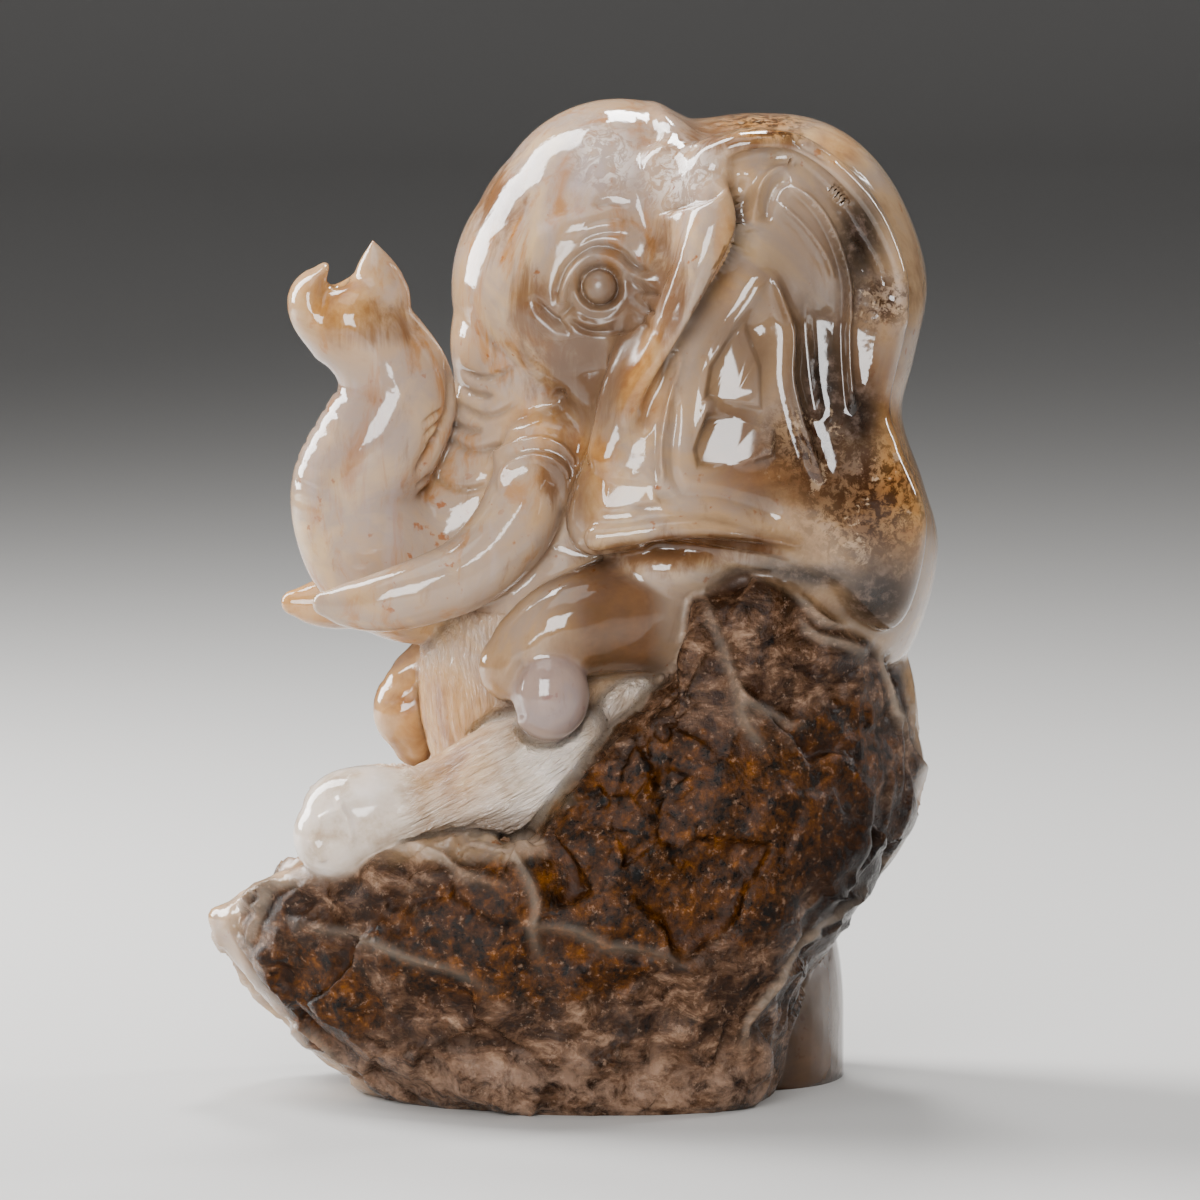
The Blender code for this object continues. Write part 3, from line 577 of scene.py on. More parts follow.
# Ears: the blade is dished between its rolled front, its margin and its hem, which lap over
# it, and long folds fan down from the ear's root.
EAR_FRONT_GROOVE = [
    (19.2, 141.3), (20.8, 138.2), (22.2, 134.4), (21.9, 130.2), (19.4, 124.8), (14.8, 118.4), (10.6, 112.4),
    (7, 106), (5.4, 101),
]
EAR_TOP_GROOVE = [
    (18.4, 140.8), (21.2, 142), (25.8, 142.4), (30, 141), (35, 136.6), (38.8, 131), (41.6, 125.6),
    (42.8, 120.5),
]
EAR_LOWER_GROOVE = [(3.6, 90.4), (9.4, 92.2), (14.8, 92.6), (20.9, 91.2), (27.1, 89)]
EAR_UNDER_LIP = [(6, 84.9), (12.5, 84.4), (16.8, 83.9), (21.8, 83), (28.7, 81.6)]
EAR_CRESTS = [
    [
        (27.6, 139), (31.3, 136.2), (33.8, 132.8), (35.8, 128.2), (37, 122.3), (36.7, 114.7), (37, 107.8),
        (37.4, 104),
    ],
    [(26.2, 136.2), (30.4, 132.4), (33.4, 128.2), (35, 123.9)],
    [(25.5, 126.3), (27.6, 121), (29, 116.4), (28.7, 110), (29.9, 104.1), (31.3, 99.5), (33.3, 93.6)],
    [(12.2, 114.3), (10.4, 110.1), (9, 104.8), (8.2, 99.4), (8.6, 93.6)],
    [(29, 142), (25.5, 141), (23.3, 138.6), (22.8, 135), (23.4, 131.2)],
    [(25, 126.6), (22, 121.4), (18.6, 116.9), (16.2, 111.7), (15, 105.9), (14.6, 99.8)],
]
EAR_VALLEYS = [
    [(28.4, 140), (26.2, 138.8), (25, 136.2), (24.6, 132.9)],
    [(30.7, 123), (30.9, 115.6), (31.3, 108.7), (32.4, 103)],
    [(10.6, 108.2), (10.6, 103.9), (10.1, 99.6), (10.4, 95.5), (12.3, 92)],
    [(24.2, 119.6), (21, 115.2), (18.6, 109.7), (17.2, 102.8), (16.8, 96.2)],
]
EAR_TUCK = [(28.6, 146), (29.8, 144.4), (31.4, 143.6), (34.6, 141.8)]

EAR_FLATS = [
    [(21.5, 118), (23.7, 111.7), (23.7, 105.3), (15, 107), (15.9, 111.8), (18.8, 115.8)],
    [(15.4, 104.9), (21.1, 104.2), (25.7, 102.3), (25.4, 98.4), (20.3, 96.7), (14, 96.8), (13.4, 99.6)],
    [(0.2, 95.2), (7.2, 94.6), (8.4, 91.4), (0, 90.9)],
]
FLAT_TILT = (-0.25, 0.2)

EAR_CREST_CUTS = [  # width, height, step
    (0.5, 1.1, 0.9), (0.45, 0.7, 0.4), (0.8, 1.3, -0.8), (0.5, 0.9, 0.7), (0.6, 1, 0.6), (1.2, 0.9, 0.3),
]
EAR_VALLEY_CUTS = [(0.7, 0.9), (1.1, 0.9), (0.7, 0.6), (1.8, 0.6)]  # width, depth

on_ear = on("ear", "roll") + 0.5 * share_of["head"]
on_ear = on_ear * sideways * (depth_of > 18) * np.clip((z - 79) / 3, 0, 1)
dish = np.hypot((x - 27) / 13.5, (z - 111) / 27)
dish_deep = 1 + 3.4 * np.clip((z - 90) / 28, 0, 1) ** 1.5
shift -= dish_deep * np.exp(-(dish**4)) * on_ear
for line, width, depth in (
    (EAR_FRONT_GROOVE, 1.1, 1.9), (EAR_TOP_GROOVE, 1, 1.2),
    (EAR_LOWER_GROOVE, 1, 0.6), (EAR_UNDER_LIP, 0.9, 1),
):
    stroke(line, width, -depth, on_ear, taper=0.1)
for line, (width, height, step) in zip(EAR_CRESTS, EAR_CREST_CUTS):
    stroke(line, width, height, on_ear, step=step)
for line, (width, depth) in zip(EAR_VALLEYS, EAR_VALLEY_CUTS):
    stroke(line, width, -depth, on_ear)
stroke(EAR_TUCK, 0.6, -0.7, on_ear)
ground = np.zeros(len(points))


def grind_flat(outline, tilt, where):
    """Grinds a flat inside a convex outline in the side view: a plane tilted to x and z by so much
    a mm, through the mean depth of what it replaces."""
    ring = np.array(outline)
    inside = np.full(len(points), np.inf)
    for a, b in zip(ring, np.roll(ring, -1, axis=0)):
        run = (b - a) / np.linalg.norm(b - a)
        inside = np.minimum(inside, run[1] * (x - a[0]) - run[0] * (z - a[1]))
    share = np.clip((inside + 0.4) / 1.2, 0, 1)
    share = share * share * (3 - 2 * share) * (where > 0.3) * (y < 0)
    rows = np.flatnonzero(share > 0)
    ground[rows] = np.maximum(ground[rows], share[rows])
    now = y[rows] + outward[rows, 1] * shift[rows]
    middle = ring.mean(axis=0)
    plane = np.median(now) + tilt[0] * (x[rows] - middle[0]) + tilt[1] * (z[rows] - middle[1])
    shift[rows] += share[rows] * (plane - now) / np.minimum(outward[rows, 1], -0.5)


for outline in EAR_FLATS:
    grind_flat(outline, FLAT_TILT, on_ear)

# Feet and coat: nails are cut on the soles and toes, and the hair of the belly, shins and
# thighs is scratched in long strokes that run with the limb.
NAILS = [
    [(-42, 44.2), (-40, 45.4), (-38, 46)], [(-39.6, 48.2), (-38.2, 45), (-37.1, 40.6)],
    [(-43.4, 42), (-42, 40), (-41.4, 38)],
]
PAW_CREASE = [(-11.4, 68.6), (-13, 65.6), (-13.3, 62.4), (-12, 58.6)]
FAR_TOES = [[(-29, 61), (-25.6, 61.6), (-22, 63.4)], [(-29.4, 57.6), (-26, 58), (-22.6, 60)]]
COATS = {"leg": (28, 1.4), "belly": (-82, 1.6), "thigh": (62, 1.3)}

for line in NAILS:
    stroke(line, 0.6, 0.55, share_of["leg"] * (depth_of > 12), step=0.15, taper=0.2)
stroke(PAW_CREASE, 0.9, -0.8, on("arm", "pad") * (y < -14))
for line in FAR_TOES:
    stroke(line, 0.6, -0.25, share_of["foot"], taper=0.2)

heights = np.random.default_rng(11).uniform(-1, 1, 4096)


def lumps(places, size, seed=0):
    """Random heights at the corners of a lattice of that size, eased from corner to corner."""
    place = places / size + 1000 + 17 * seed
    cell = np.floor(place).astype(np.int64)
    ease = place - cell
    ease = ease * ease * (3 - 2 * ease)
    total = np.zeros(len(places))
    for corner in np.ndindex(2, 2, 2):
        i, j, k = (cell + corner).T
        weight = np.where(corner, ease, 1 - ease).prod(axis=1)
        total += weight * heights[(i * 73856093 ^ j * 19349663 ^ k * 83492791) & 4095]
    return total


comb = np.zeros((len(points), 3))
for part, (lean, fineness) in COATS.items():
    c, s = math.cos(math.radians(lean)), math.sin(math.radians(lean))
    along, across = x * c + z * s, z * c - x * s
    where = share_of[part][:, None]
    comb += where * np.stack([across * fineness, along * 0.1, y * fineness * 0.6], axis=1)
leg_hair = np.clip((x + 31) / 4, 0, 1) * np.clip((60 - z) / 4, 0, 1)
hair = np.clip(share_of["leg"] * leg_hair + 0.6 * share_of["belly"] * (z < 74) + share_of["thigh"], 0, 1)
shift += (0.5 * lumps(comb, 1.0, 3) + 0.25 * lumps(comb, 0.5, 4)) * hair

# Crust: the rock is broken into chips and rounded ridges, with deeper lumps between them.
ROCK_RIDGES = [
    [(14.5, 79.3), (16.1, 74.4), (19.4, 65), (20.7, 62.4), (25.1, 60.2), (28.6, 58.3), (31, 58.5)],
    [(19.3, 63.9), (20.1, 59.4), (24, 54.5)],
    [(27.7, 79.5), (30, 76.4), (33.5, 72.8), (38.2, 72.3), (42.2, 70.1), (45.6, 70.1)],
    [(42.5, 69.9), (44.7, 65.9), (47.3, 57.9), (48.6, 52.3)],
    [(29.4, 74.7), (32, 71.1), (36.4, 69.4), (42.1, 67)],
    [(-14.6, 31.1), (-10.8, 29.2), (-4.9, 28.6), (-0.6, 26.4), (5.2, 25.4), (14.2, 22.6)],
    [(-58, 28.4), (-53.6, 29.4), (-49.4, 30.3), (-48, 32.7), (-45.1, 34.2), (-39.9, 35.5)],
    [(-47.8, 28.9), (-38.3, 27.5), (-33.4, 26.5), (-27.6, 24), (-22.2, 22.7), (-15.3, 18.3)],
    [(-41.5, 36.6), (-33.2, 40.2), (-25.1, 39.8), (-20.9, 36.8), (-13.6, 35)],
    [(-51.2, 22.3), (-50.3, 27.6), (-48.5, 32.6)],
    [(42.7, 33.7), (36.5, 29.2), (30.4, 24), (24.3, 18), (21.2, 12.7), (21.5, 8.1)],
    [(-16.2, 41.7), (-12.8, 37.8), (-11, 33.2), (-11.3, 27.9), (-9, 22.5)],
    [(-51.5, 22.5), (-48, 14.8), (-41.1, 10.9), (-34.2, 3.9)],
]
CHIPS = ((150, 0.2, 1.1), (520, 0.16, 0.4))

on_rock = share_of["rock"] * np.clip((z + 2) / 4, 0, 1)
edge_lines = np.zeros(len(points))
for line in ROCK_RIDGES:
    stroke(line, 0.7, 0.5, on_rock * sideways, step=0.5, taper=0.3)
    here, gap, along = beside(line, 1.5, on_rock * sideways)
    edge_lines[here] = np.maximum(edge_lines[here], np.exp(-((gap / 0.35) ** 2)) * np.sin(math.pi * along))
chance = np.random.default_rng(5)
rock_rows = np.flatnonzero(on_rock > 0.3)
crooked = points[rock_rows] + 1.2 * np.stack([lumps(points[rock_rows], 5, s) for s in (1, 2, 3)], axis=1)
roughness = np.zeros(len(points))
for count, tilt_by, most in CHIPS:
    chip_middles = points[chance.choice(rock_rows, count, replace=False)]
    tilts = chance.normal(size=(count, 3)) * tilt_by
    best = np.full(len(rock_rows), np.inf)
    chip = np.zeros(len(rock_rows))
    for middle, tilt in zip(chip_middles, tilts):
        away = crooked - middle
        gap = (away**2).sum(axis=1)
        closer = gap < best
        best = np.where(closer, gap, best)
        chip = np.where(closer, np.clip(away @ tilt, -most, most), chip)
    roughness[rock_rows] += chip
roughness = around(roughness, 1)[:, 0]
roughness += (
    0.6 * lumps(points, 14, 4) + 0.4 * (0.4 - 2 * np.abs(lumps(points, 9, 5))) + 0.1 * lumps(points, 2.6, 6))
roughness *= np.clip(1.25 - sideways * 0.1 - (sideways < 0.6) * 0.5, 0, 1)
shift += on_rock * roughness
shift += 0.25 * share_of["heel"] * lumps(points, 12, 7)
points = points + outward * shift[:, None]
hollow_of = ((around(points, 12) - points) * facing(points)).sum(axis=1)
points[:, 1] *= 1 - 0.02 * np.exp(-((points[:, 2] / 0.7) ** 2))

# Marks: where each finish of the stone lies, and where shade and highlights are painted into its colour.
# Near and far sides share them.
SPOTS = {
    "charcoal": [(38.5, 130, 4, 9), (33, 109, 4.5, 12), (41, 77, 6, 6), (28, 80, 14, 2.6), (38, 104, 4, 6)],
    "amber": [
        (24, 96, 10, 7), (32, 95, 8, 7), (19, 102, 5, 6), (16, 85.4, 16, 2.4), (40, 106, 5, 8),
        (41, 92, 8, 9),
    ],
    # smoky grey-brown patches on the ears, eye and cheek; the spots under the shins and on the thigh are
    # painted shade
    "smoky_patches_and_shade": [
        (29, 124, 9, 13), (22, 114, 8, 9), (36, 118, 8, 10), (-14, 42.5, 14, 3.5), (3, 55, 4, 8),
        (44, 78, 8, 8), (1.5, 119, 9.5, 12), (-1, 108, 7, 8), (-4.5, 94, 4, 7), (34, 112, 12, 12),
    ],
    "matt": [(1, 121, 9, 9), (-5, 118, 6, 5)],
    # painted reflection: crumpled pale patches where the soft boxes glint on the forehead and the ear's knob
    "painted_window_glint": [(2.5, 142, 4, 4.5), (12.9, 139, 5, 5)],
    "shade": [(40, 32, 12, 16)],
    "orange": [
        (44, 100, 3, 14), (47, 90, 3, 7), (18.5, 128, 2.5, 8), (6, 110, 4, 8), (-1.5, 96, 3, 8),
        (-42, 73, 6, 5), (-25, 57, 6, 8), (-22, 56, 7, 12), (-38, 121, 6, 6), (26, 146.8, 7, 1.6),
        (38, 143, 5, 3), (-8, 101, 5, 4),
    ],
    "peppered": [(40, 92, 10, 10), (31, 100, 7, 6), (42, 121, 5, 4), (27, 146.8, 8, 1.6)],
    "rust": [(16, 44, 27, 13), (-12, 27, 26, 9), (36, 52, 10, 9), (-42, 16, 9, 8), (4, 34, 26, 10)],
    "stained": [
        (-1, 110, 9, 7), (5, 116, 5, 10), (-14, 139, 5, 10), (-32, 117, 9, 4), (12, 84, 16, 3),
        (9, 124, 2.5, 10), (-4, 96, 5, 8), (-9, 118, 4, 8), (22, 145, 12, 2),
    ],
    "lilac": [(-7.6, 61, 7, 7), (4, 140, 14, 8), (16, 148, 8, 4), (-32, 100, 10, 14)],
}


def spotted(spots, sharpness=2):
    """How much each point lies in the round spots: the greatest of exp(-(distance / size)^n)."""
    found = np.zeros(len(points))
    for sx, sz, wide, tall in spots:
        found = np.maximum(found, np.exp(-(np.hypot((x - sx) / wide, (z - sz) / tall) ** sharpness)))
    return found


up = outward[:, 2]
rock = share_of["rock"]
marks = {name: spotted(spots, 3) for name, spots in SPOTS.items()}
marks["orange"] *= (1 - rock) * (1 - share_of["tusk"] * (y < 0))
arm_amber = share_of["arm"] * np.clip((x + 14) / 12, 0.35, 1) * np.clip((13 - x) / 6, 0.35, 1) * (y < 0)
marks["amber"] = np.maximum(marks["amber"] * on("ear", "roll"), arm_amber)
marks["amber"] = np.maximum(marks["amber"], share_of["heel"])
marks["charcoal"] *= share_of["ear"]
marks["peppered"] *= share_of["ear"]
marks["smoky_patches_and_shade"] *= on("ear", "leg", "thigh", "head")
marks["painted_window_glint"] *= on("head", "ear")
marks["shade"] *= rock
marks["flat"] = ground
marks["white"] = on("leg", "thigh")
marks["lilac"] = np.maximum(0.5 * marks["lilac"], 1.5 * share_of["pad"])
worn_top = np.clip(1.75 - 1.5 * np.clip(up, 0, 1) * (z < 48) * (x > -49), 0, 1)
outer_faces = np.clip((depth_of - 15) / 5 + (z < 34) + (x > 20) + rock * (up < 0.3), 0, 1)
marks["crust"] = rock * worn_top * outer_faces
# Pale lines along the rock's ridges and round the seat's rim next to the animal: partly the pale stone under
# the crust, partly painted highlight.
seat_edge = np.exp(-(((rock - 0.5) / 0.14) ** 2)) * (z > 36) * (y < 0) * (x < 18)
marks["ridge"] = np.maximum(edge_lines, 0.8 * seat_edge)
# Painted shade: the deeper a crease or hollow, the darker its colour; the heel is darkened all over by the
# same mark.
marks["hollow"] = np.maximum(np.clip((hollow_of - 0.08) / 0.45, 0, 1), 0.62 * share_of["heel"])
marks["base"] = rock * np.clip((13 - z) / 8, 0, 1) * (y < 20)
marks["streaked"] = np.clip(on("head", "trunk") + 0.7 * share_of["tusk"] + 0.5 * share_of["roll"], 0, 1)
marks["hair"] = hair
for name, values in marks.items():
    marks[name] = np.clip(around(values, 2)[:, 0], 0, 1)

# The finished skin: the underside is sawn level, then the mesh is thinned to what shows.
MOST_TRIANGLES = 192000

fine = bpy.data.meshes.new("fine_skin")
fine.from_pydata(points * unit, [], corners)
for name, values in marks.items():
    fine.attributes.new(name, "FLOAT", "POINT").data.foreach_set("value", values.astype(np.float32))
combed_ways = fine.attributes.new("comb", "FLOAT_VECTOR", "POINT")
combed_ways.data.foreach_set("vector", comb.astype(np.float32).ravel())
form = bmesh.new()
form.from_mesh(fine)
sawn = bmesh.ops.bisect_plane(
    form, geom=form.verts[:] + form.edges[:] + form.faces[:], plane_co=(0, 0, 0), plane_no=(0, 0, 1),
    clear_inner=True)
rim = [item for item in sawn["geom_cut"] if isinstance(item, bmesh.types.BMEdge)]
bmesh.ops.triangle_fill(form, edges=rim, use_beauty=True)
bmesh.ops.recalc_face_normals(form, faces=form.faces)
form.to_mesh(fine)
form.free()
fine.shade_smooth()
fine.calc_loop_triangles()
fine_skin = placed("fine_skin", fine)
thinned = placed("thinned_skin", fine)
thin = thinned.modifiers.new("thin", "DECIMATE")
thin.ratio = min(1, MOST_TRIANGLES / len(fine.loop_triangles))
gloss = thinned.modifiers.new("keep_the_gloss", "DATA_TRANSFER")
gloss.object = fine_skin
gloss.use_loop_data = True
gloss.data_types_loops = {"CUSTOM_NORMAL"}
gloss.loop_mapping = "POLYINTERP_NEAREST"
bpy.context.view_layer.update()
polished = bpy.data.meshes.new_from_object(thinned.evaluated_get(bpy.context.evaluated_depsgraph_get()))
for obj in (thinned, fine_skin):
    bpy.data.objects.remove(obj)
bpy.data.meshes.remove(fine)
polished.name = "polished_carving"
carving = placed("polished_carving", polished)

# Stone: chalcedony, clear at the polish and cloudy under it. Pale lilac-grey and cream run
# into ochre veins, amber and smoky patches, and the crust is rust, mauve and black pepper.
stone = bpy.data.materials.new("chalcedony")
stone.use_nodes = True
tree = stone.node_tree
shader = tree.nodes["Principled BSDF"]


def new(kind):
    """A shader node of the stone."""
    return tree.nodes.new("ShaderNode" + kind)


def rgb(red, green, blue):
    """A colour as seen, 0 to 255, as the light it gives back."""
    return tuple((value / 255) ** 2.2 for value in (red, green, blue)) + (1,)


def feed(entry, value):
    """A link into a node's entry, or a plain value set on it."""
    if isinstance(value, bpy.types.NodeSocket):
        tree.links.new(value, entry)
    else:
        entry.default_value = value


def link(node, **entries):
    """Feeds a node's entries by name, with an underscore for each space."""
    for name, value in entries.items():
        feed(node.inputs[name.replace("_", " ")], value)
    return node


def stretched(source, scale):
    """The coordinates times a scale for each axis."""
    node = new("VectorMath")
    node.operation = "MULTIPLY"
    feed(node.inputs[0], source)
    feed(node.inputs[1], scale)
    return node.outputs[0]


def cloud(source, size, detail=6.0, roughness=0.55, distortion=0.0):
    """Noise with features about that many mm across."""
    node = new("TexNoise")
    link(node, Vector=source, Scale=1 / (size * unit), Detail=detail, Roughness=roughness,
         Distortion=distortion)
    return node.outputs["Fac"]


def between(value, low, high):
    """0 below low, 1 above high, eased between."""
    node = new("MapRange")
    node.interpolation_type = "SMOOTHSTEP"
    feed(node.inputs["Value"], value)
    feed(node.inputs["From Min"], low)
    feed(node.inputs["From Max"], high)
    return node.outputs["Result"]


def combine(operation, a, b):
    """A sum, difference or product of two values."""
    node = new("Math")
    node.operation = operation
    feed(node.inputs[0], a)
    feed(node.inputs[1], b)
    return node.outputs[0]


def both(a, b):
    """How far both hold: their product."""
    return combine("MULTIPLY", a, b)


def mark(name):
    """One of the marks kept on the skin, 0 to 1."""
    node = new("Attribute")
    node.attribute_name = name
    return node.outputs["Fac"]


def layered(below, above, amount):
    """The colour above laid over the one below by the amount."""
    node = new("Mix")
    node.data_type = "RGBA"
    for entry, value in zip((0, 6, 7), (amount, below, above)):
        feed(node.inputs[entry], value)
    return node.outputs[2]


def banded(value, *stops):
    """A colour that runs through the stops (position, colour)."""
    node = new("ValToRGB")
    ramp = node.color_ramp
    while len(ramp.elements) < len(stops):
        ramp.elements.new(1)
    for element, (position, colour) in zip(ramp.elements, stops):
        element.position, element.color = position, colour
    feed(node.inputs["Fac"], value)
    return node.outputs["Color"]


place = new("TexCoord").outputs["Object"]
drifting = cloud(place, 24, 6, 0.6, 0.8)
pale = banded(drifting, (0.32, rgb(132, 102, 74)), (0.44, rgb(170, 138, 104)), (0.54, rgb(156, 134, 116)),
              (0.66, rgb(186, 154, 114)))
running = stretched(place, (1, 1, 0.2))
veins = between(cloud(running, 4.5, 6, 0.62, 0.6), 0.5, 0.68)
pale = layered(pale, rgb(156, 104, 50), both(both(veins, mark("streaked")), 0.85))
lilac_veins = between(cloud(running, 6.5, 5, 0.6, 0.4), 0.55, 0.7)
pale = layered(pale, rgb(168, 154, 156), both(both(lilac_veins, mark("streaked")), 0.35))
flecks = between(cloud(place, 1.9, 3, 0.5), 0.64, 0.72)
fleck_patches = between(cloud(place, 14, 3, 0.5), 0.45, 0.6)
pale = layered(pale, rgb(138, 76, 32), both(both(flecks, fleck_patches), 0.8))
pale = layered(pale, rgb(124, 110, 114), both(mark("lilac"), 0.62))
long_clouds = cloud(stretched(place, (1, 1, 0.3)), 3.6, 6, 0.65, 0.6)
stains = between(combine("ADD", long_clouds, both(mark("stained"), 0.36)), 0.56, 0.9)
pale = layered(pale, rgb(96, 62, 34), both(stains, 0.85))
# Painted reflection: crumpled pale patches stand in for the window glints on the forehead and the knob.
painted_glint_patches = both(between(cloud(place, 2.6, 5, 0.7, 1.4), 0.46, 0.56), mark("painted_window_glint"))
pale = layered(pale, rgb(216, 202, 192), both(painted_glint_patches, 0.75))
milk = banded(cloud(place, 8, 6, 0.62), (0.35, rgb(164, 140, 116)), (0.5, rgb(204, 188, 172)),
              (0.66, rgb(216, 204, 194)))
colour = layered(pale, milk, both(mark("white"), 0.9))
honey = banded(cloud(place, 10, 6, 0.6, 0.5), (0.34, rgb(50, 28, 9)), (0.5, rgb(68, 39, 14)),
               (0.66, rgb(94, 58, 26)))
colour = layered(colour, honey, both(mark("amber"), 0.85))
peach = banded(cloud(place, 6, 6, 0.62, 0.4), (0.36, rgb(138, 84, 30)), (0.5, rgb(178, 126, 66)),
               (0.64, rgb(198, 154, 100)))
colour = layered(colour, peach, both(mark("orange"), 0.7))
# Smoky patches on the ears and head, and painted shade under the shins and on the thighs.
colour = layered(colour, rgb(90, 70, 55), both(mark("smoky_patches_and_shade"), 0.8))
smoke = banded(cloud(place, 2.2, 6, 0.7), (0.36, rgb(14, 12, 11)), (0.5, rgb(36, 30, 27)),
               (0.66, rgb(88, 74, 66)))
colour = layered(colour, smoke, both(mark("charcoal"), 0.96))
pepper = between(cloud(place, 1.5, 6, 0.75, 0.4), 0.44, 0.56)
colour = layered(colour, rgb(44, 25, 12), both(both(pepper, mark("peppered")), 0.92))
blooms = both(between(cloud(place, 3.2, 6, 0.7, 0.3), 0.58, 0.64), mark("peppered"))
colour = layered(colour, rgb(178, 150, 120), both(blooms, 0.7))

bent = new("VectorMath")
bent.operation = "MULTIPLY_ADD"
wander = new("TexNoise")
link(wander, Vector=place, Scale=1 / (3 * unit), Detail=4)
feed(bent.inputs[0], wander.outputs["Color"])
feed(bent.inputs[1], (3.2 * unit,) * 3)
feed(bent.inputs[2], place)
fragments = new("TexVoronoi")
link(fragments, Vector=bent.outputs[0], Scale=1 / (2.6 * unit))
by_fragment = new("SeparateColor")
feed(by_fragment.inputs[0], fragments.outputs["Color"])
grit = cloud(place, 2.2, 10, 0.72, 0.3)
mixed = combine("ADD", both(by_fragment.outputs[0], 0.1), both(grit, 0.95))
rust = banded(mixed, (0.36, rgb(8, 7, 3)), (0.45, rgb(30, 18, 5)), (0.53, rgb(54, 31, 6)),
              (0.62, rgb(78, 44, 8)), (0.72, rgb(112, 66, 15)), (0.86, rgb(140, 98, 50)))
streaming = cloud(stretched(place, (0.7, 0.7, 1.2)), 3.8, 10, 0.7, 0.5)
mauve = banded(combine("ADD", both(by_fragment.outputs[1], 0.08), both(streaming, 0.96)),
               (0.36, rgb(18, 11, 7)), (0.48, rgb(48, 32, 21)), (0.58, rgb(84, 61, 45)),
               (0.72, rgb(146, 117, 95)))
patches = between(combine("ADD", cloud(place, 10, 6, 0.68, 0.4), both(mark("rust"), 0.5)), 0.54, 0.8)
crust = layered(mauve, rust, patches)
soot = between(cloud(place, 3.6, 8, 0.75, 0.3), 0.54, 0.66)
crust = layered(crust, rgb(14, 15, 9), both(soot, 0.6))
chalky = both(between(cloud(place, 4, 8, 0.7, 0.4), 0.36, 0.66), mark("base"))
crust = layered(crust, rgb(150, 120, 100), both(chalky, 0.75))
salt = between(cloud(place, 1.1, 4, 0.7), 0.58, 0.7)
crust = layered(crust, rgb(170, 140, 118), both(salt, 0.3))
crust = layered(crust, rgb(15, 10, 9), both(mark("shade"), 0.85))
colour = layered(colour, crust, mark("crust"))
# Ridge lines and seat rim: partly pale stone, partly painted highlight.
colour = layered(colour, rgb(204, 182, 160), both(mark("ridge"), 0.4))
# Painted shade in creases and hollows, and the heel darkened all over.
colour = layered(colour, rgb(48, 28, 16), both(mark("hollow"), 0.75))
feed(shader.inputs["Base Color"], colour)

combed = new("Attribute")
combed.attribute_name = "comb"
strands = new("TexNoise")
link(strands, Vector=combed.outputs["Vector"], Scale=1.6, Detail=3, Roughness=0.6)
pits = cloud(place, 1.2, 6, 0.7)
ripples = cloud(place, 5, 3, 0.5)
hairs = both(strands.outputs["Fac"], mark("hair"))
relief = combine("ADD", hairs, both(both(pits, mark("crust")), 0.3))
relief = combine("ADD", relief, both(ripples, combine("SUBTRACT", 0.13, both(mark("flat"), 0.12))))
bump = new("Bump")
link(bump, Height=relief, Distance=unit, Strength=1)
feed(shader.inputs["Normal"], bump.outputs["Normal"])
dull = combine("ADD", both(between(pits, 0.3, 0.7), both(mark("crust"), 0.14)), both(ripples, 0.06))
dull = combine("ADD", dull, both(mark("matt"), 0.24))
feed(shader.inputs["Roughness"], combine("ADD", dull, 0.05))
link(shader, Subsurface_Weight=0.12, Subsurface_Scale=0.0016)
feed(shader.inputs["IOR"], combine("SUBTRACT", 1.54, both(mark("crust"), 0.3)))
feed(shader.inputs["Subsurface Radius"], (1, 0.6, 0.35))
carving.data.materials.clear()
carving.data.materials.append(stone)
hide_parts(CARVING)
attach(carving, "root")

# Studio: a pale table, soft boxes at the left, above and at the right, a dim grey room, and
# a long lens a little above the table, round to the animal's left.
FLOOR_SIZE = 6.0
SWEEP_FAR, SWEEP_BEND = 2.2, 0.8
CAMERA_TURN, CAMERA_LIFT, CAMERA_FAR = math.radians(-8), math.radians(6), 1.6
SCALE_SEEN = 0.09108
AIM_RIGHT, AIM_UP = 0.00364, 0.0738
MIDDLE_UP = 0.075

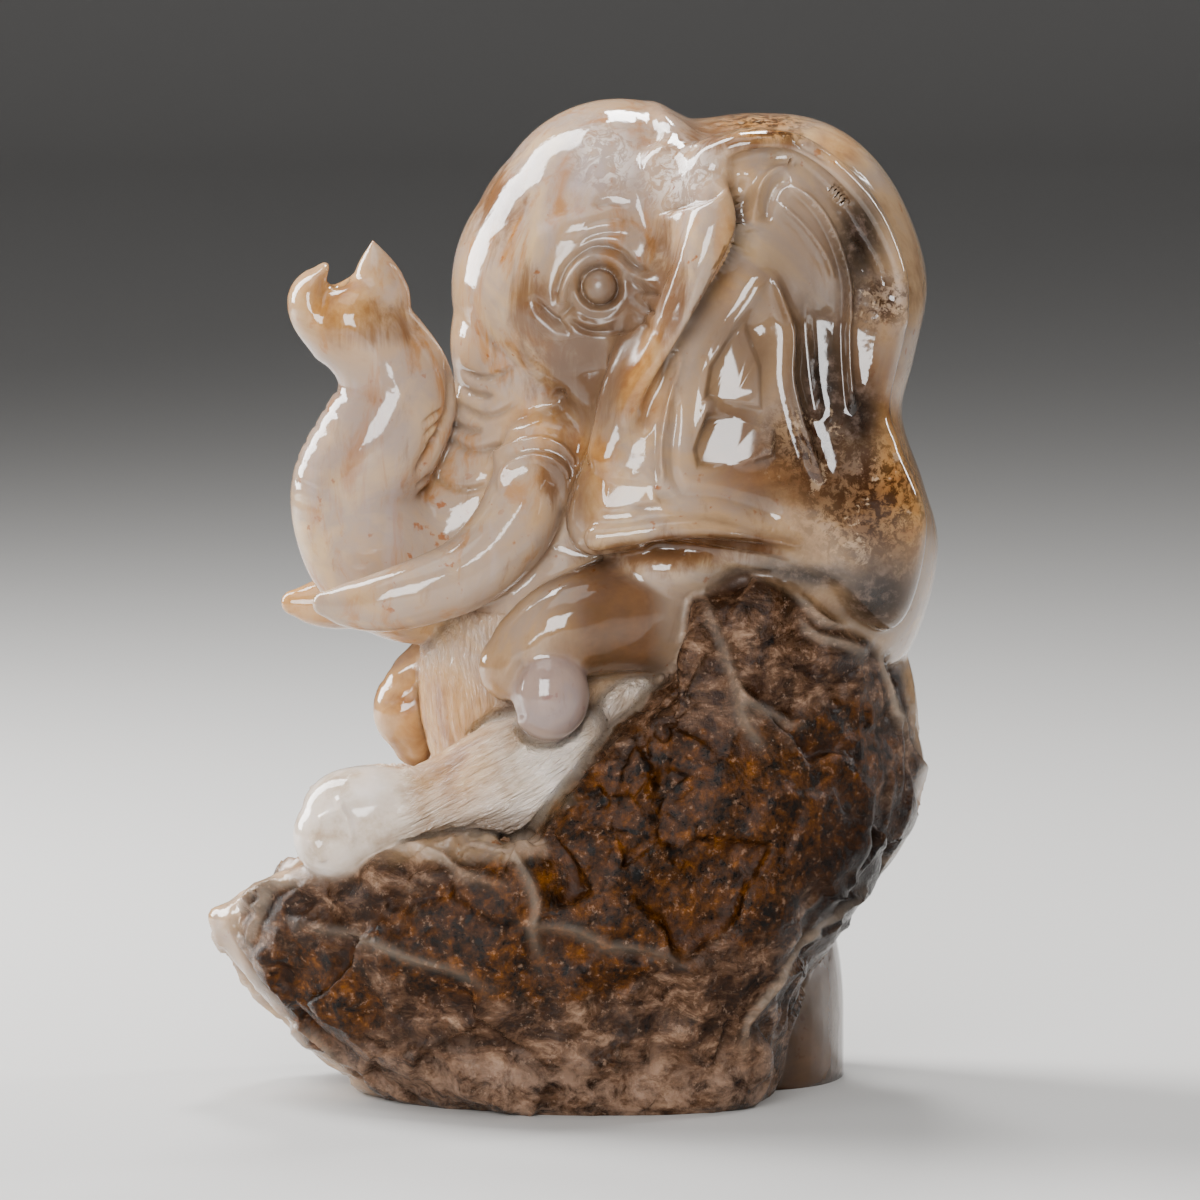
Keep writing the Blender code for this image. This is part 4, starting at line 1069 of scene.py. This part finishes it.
bend = np.linspace(0, math.pi / 2, 24)
run = np.concatenate([[-FLOOR_SIZE / 2], SWEEP_FAR + SWEEP_BEND * np.sin(bend), [SWEEP_FAR + SWEEP_BEND]])
rise = np.concatenate([[0], SWEEP_BEND * (1 - np.cos(bend)), [FLOOR_SIZE / 2]])
wide = np.array([-FLOOR_SIZE, FLOOR_SIZE])
floor_points = np.stack([np.repeat(wide, len(run)), np.tile(run, 2), np.tile(rise, 2)], axis=1)
panel = np.arange(len(run) - 1)
floor = bpy.data.meshes.new("table")
panels = np.stack([panel, panel + len(run), panel + len(run) + 1, panel + 1], axis=1)
floor.from_pydata(floor_points, [], panels)
floor.shade_smooth()
table = placed("table", floor)
paint = bpy.data.materials.new("table_paint")
paint.use_nodes = True
paint_shader = paint.node_tree.nodes["Principled BSDF"]
paint_shader.inputs["Base Color"].default_value = (0.5, 0.49, 0.475, 1)
paint_shader.inputs["Roughness"].default_value = 0.6
floor.materials.append(paint)


def soft_box(name, direction, far, size, power):
    """A rectangular light that far from the carving's middle, turned to it."""
    light = bpy.data.lights.new(name, "AREA")
    light.shape = "RECTANGLE"
    light.size, light.size_y = size
    light.energy = power
    lamp = placed(name, light)
    towards = Vector(direction).normalized()
    turned = towards.to_track_quat("Z", "Y").to_matrix().to_4x4()
    lamp.matrix_world = Matrix.Translation(towards * far + Vector((0, 0, MIDDLE_UP))) @ turned


soft_box("left_strip", (-0.72, 0.57, 0.64), 0.62, (0.24, 0.8), 15)
soft_box("top_window", (0.09, 0.49, 0.85), 0.6, (0.12, 0.16), 3)
soft_box("front_window", (-0.32, -0.92, 0.31), 0.9, (0.4, 0.44), 11)
soft_box("right_strip", (0.95, 0.25, 0.5), 0.6, (0.05, 0.4), 2)
soft_box("ceiling", (-0.2, -0.3, 1), 1.6, (1, 1), 7)

world = bpy.data.worlds.new("room")
world.use_nodes = True
world.node_tree.nodes["Background"].inputs["Color"].default_value = (0.09, 0.09, 0.092, 1)
bpy.context.scene.world = world

right = Vector((math.cos(CAMERA_TURN), math.sin(CAMERA_TURN), 0))
level = math.cos(CAMERA_LIFT)
towards = Vector((math.sin(CAMERA_TURN) * level, -math.cos(CAMERA_TURN) * level, math.sin(CAMERA_LIFT)))
upwards = towards.cross(right)
lens = bpy.data.cameras.new("camera")
lens.sensor_width = 36
lens.lens = 18 / (SCALE_SEEN / CAMERA_FAR)
camera = placed("camera", lens)
camera_turn = Matrix((right, upwards, towards)).transposed().to_4x4()
camera_place = right * AIM_RIGHT + upwards * AIM_UP + towards * CAMERA_FAR
camera.matrix_world = Matrix.Translation(camera_place) @ camera_turn
bpy.context.scene.camera = camera
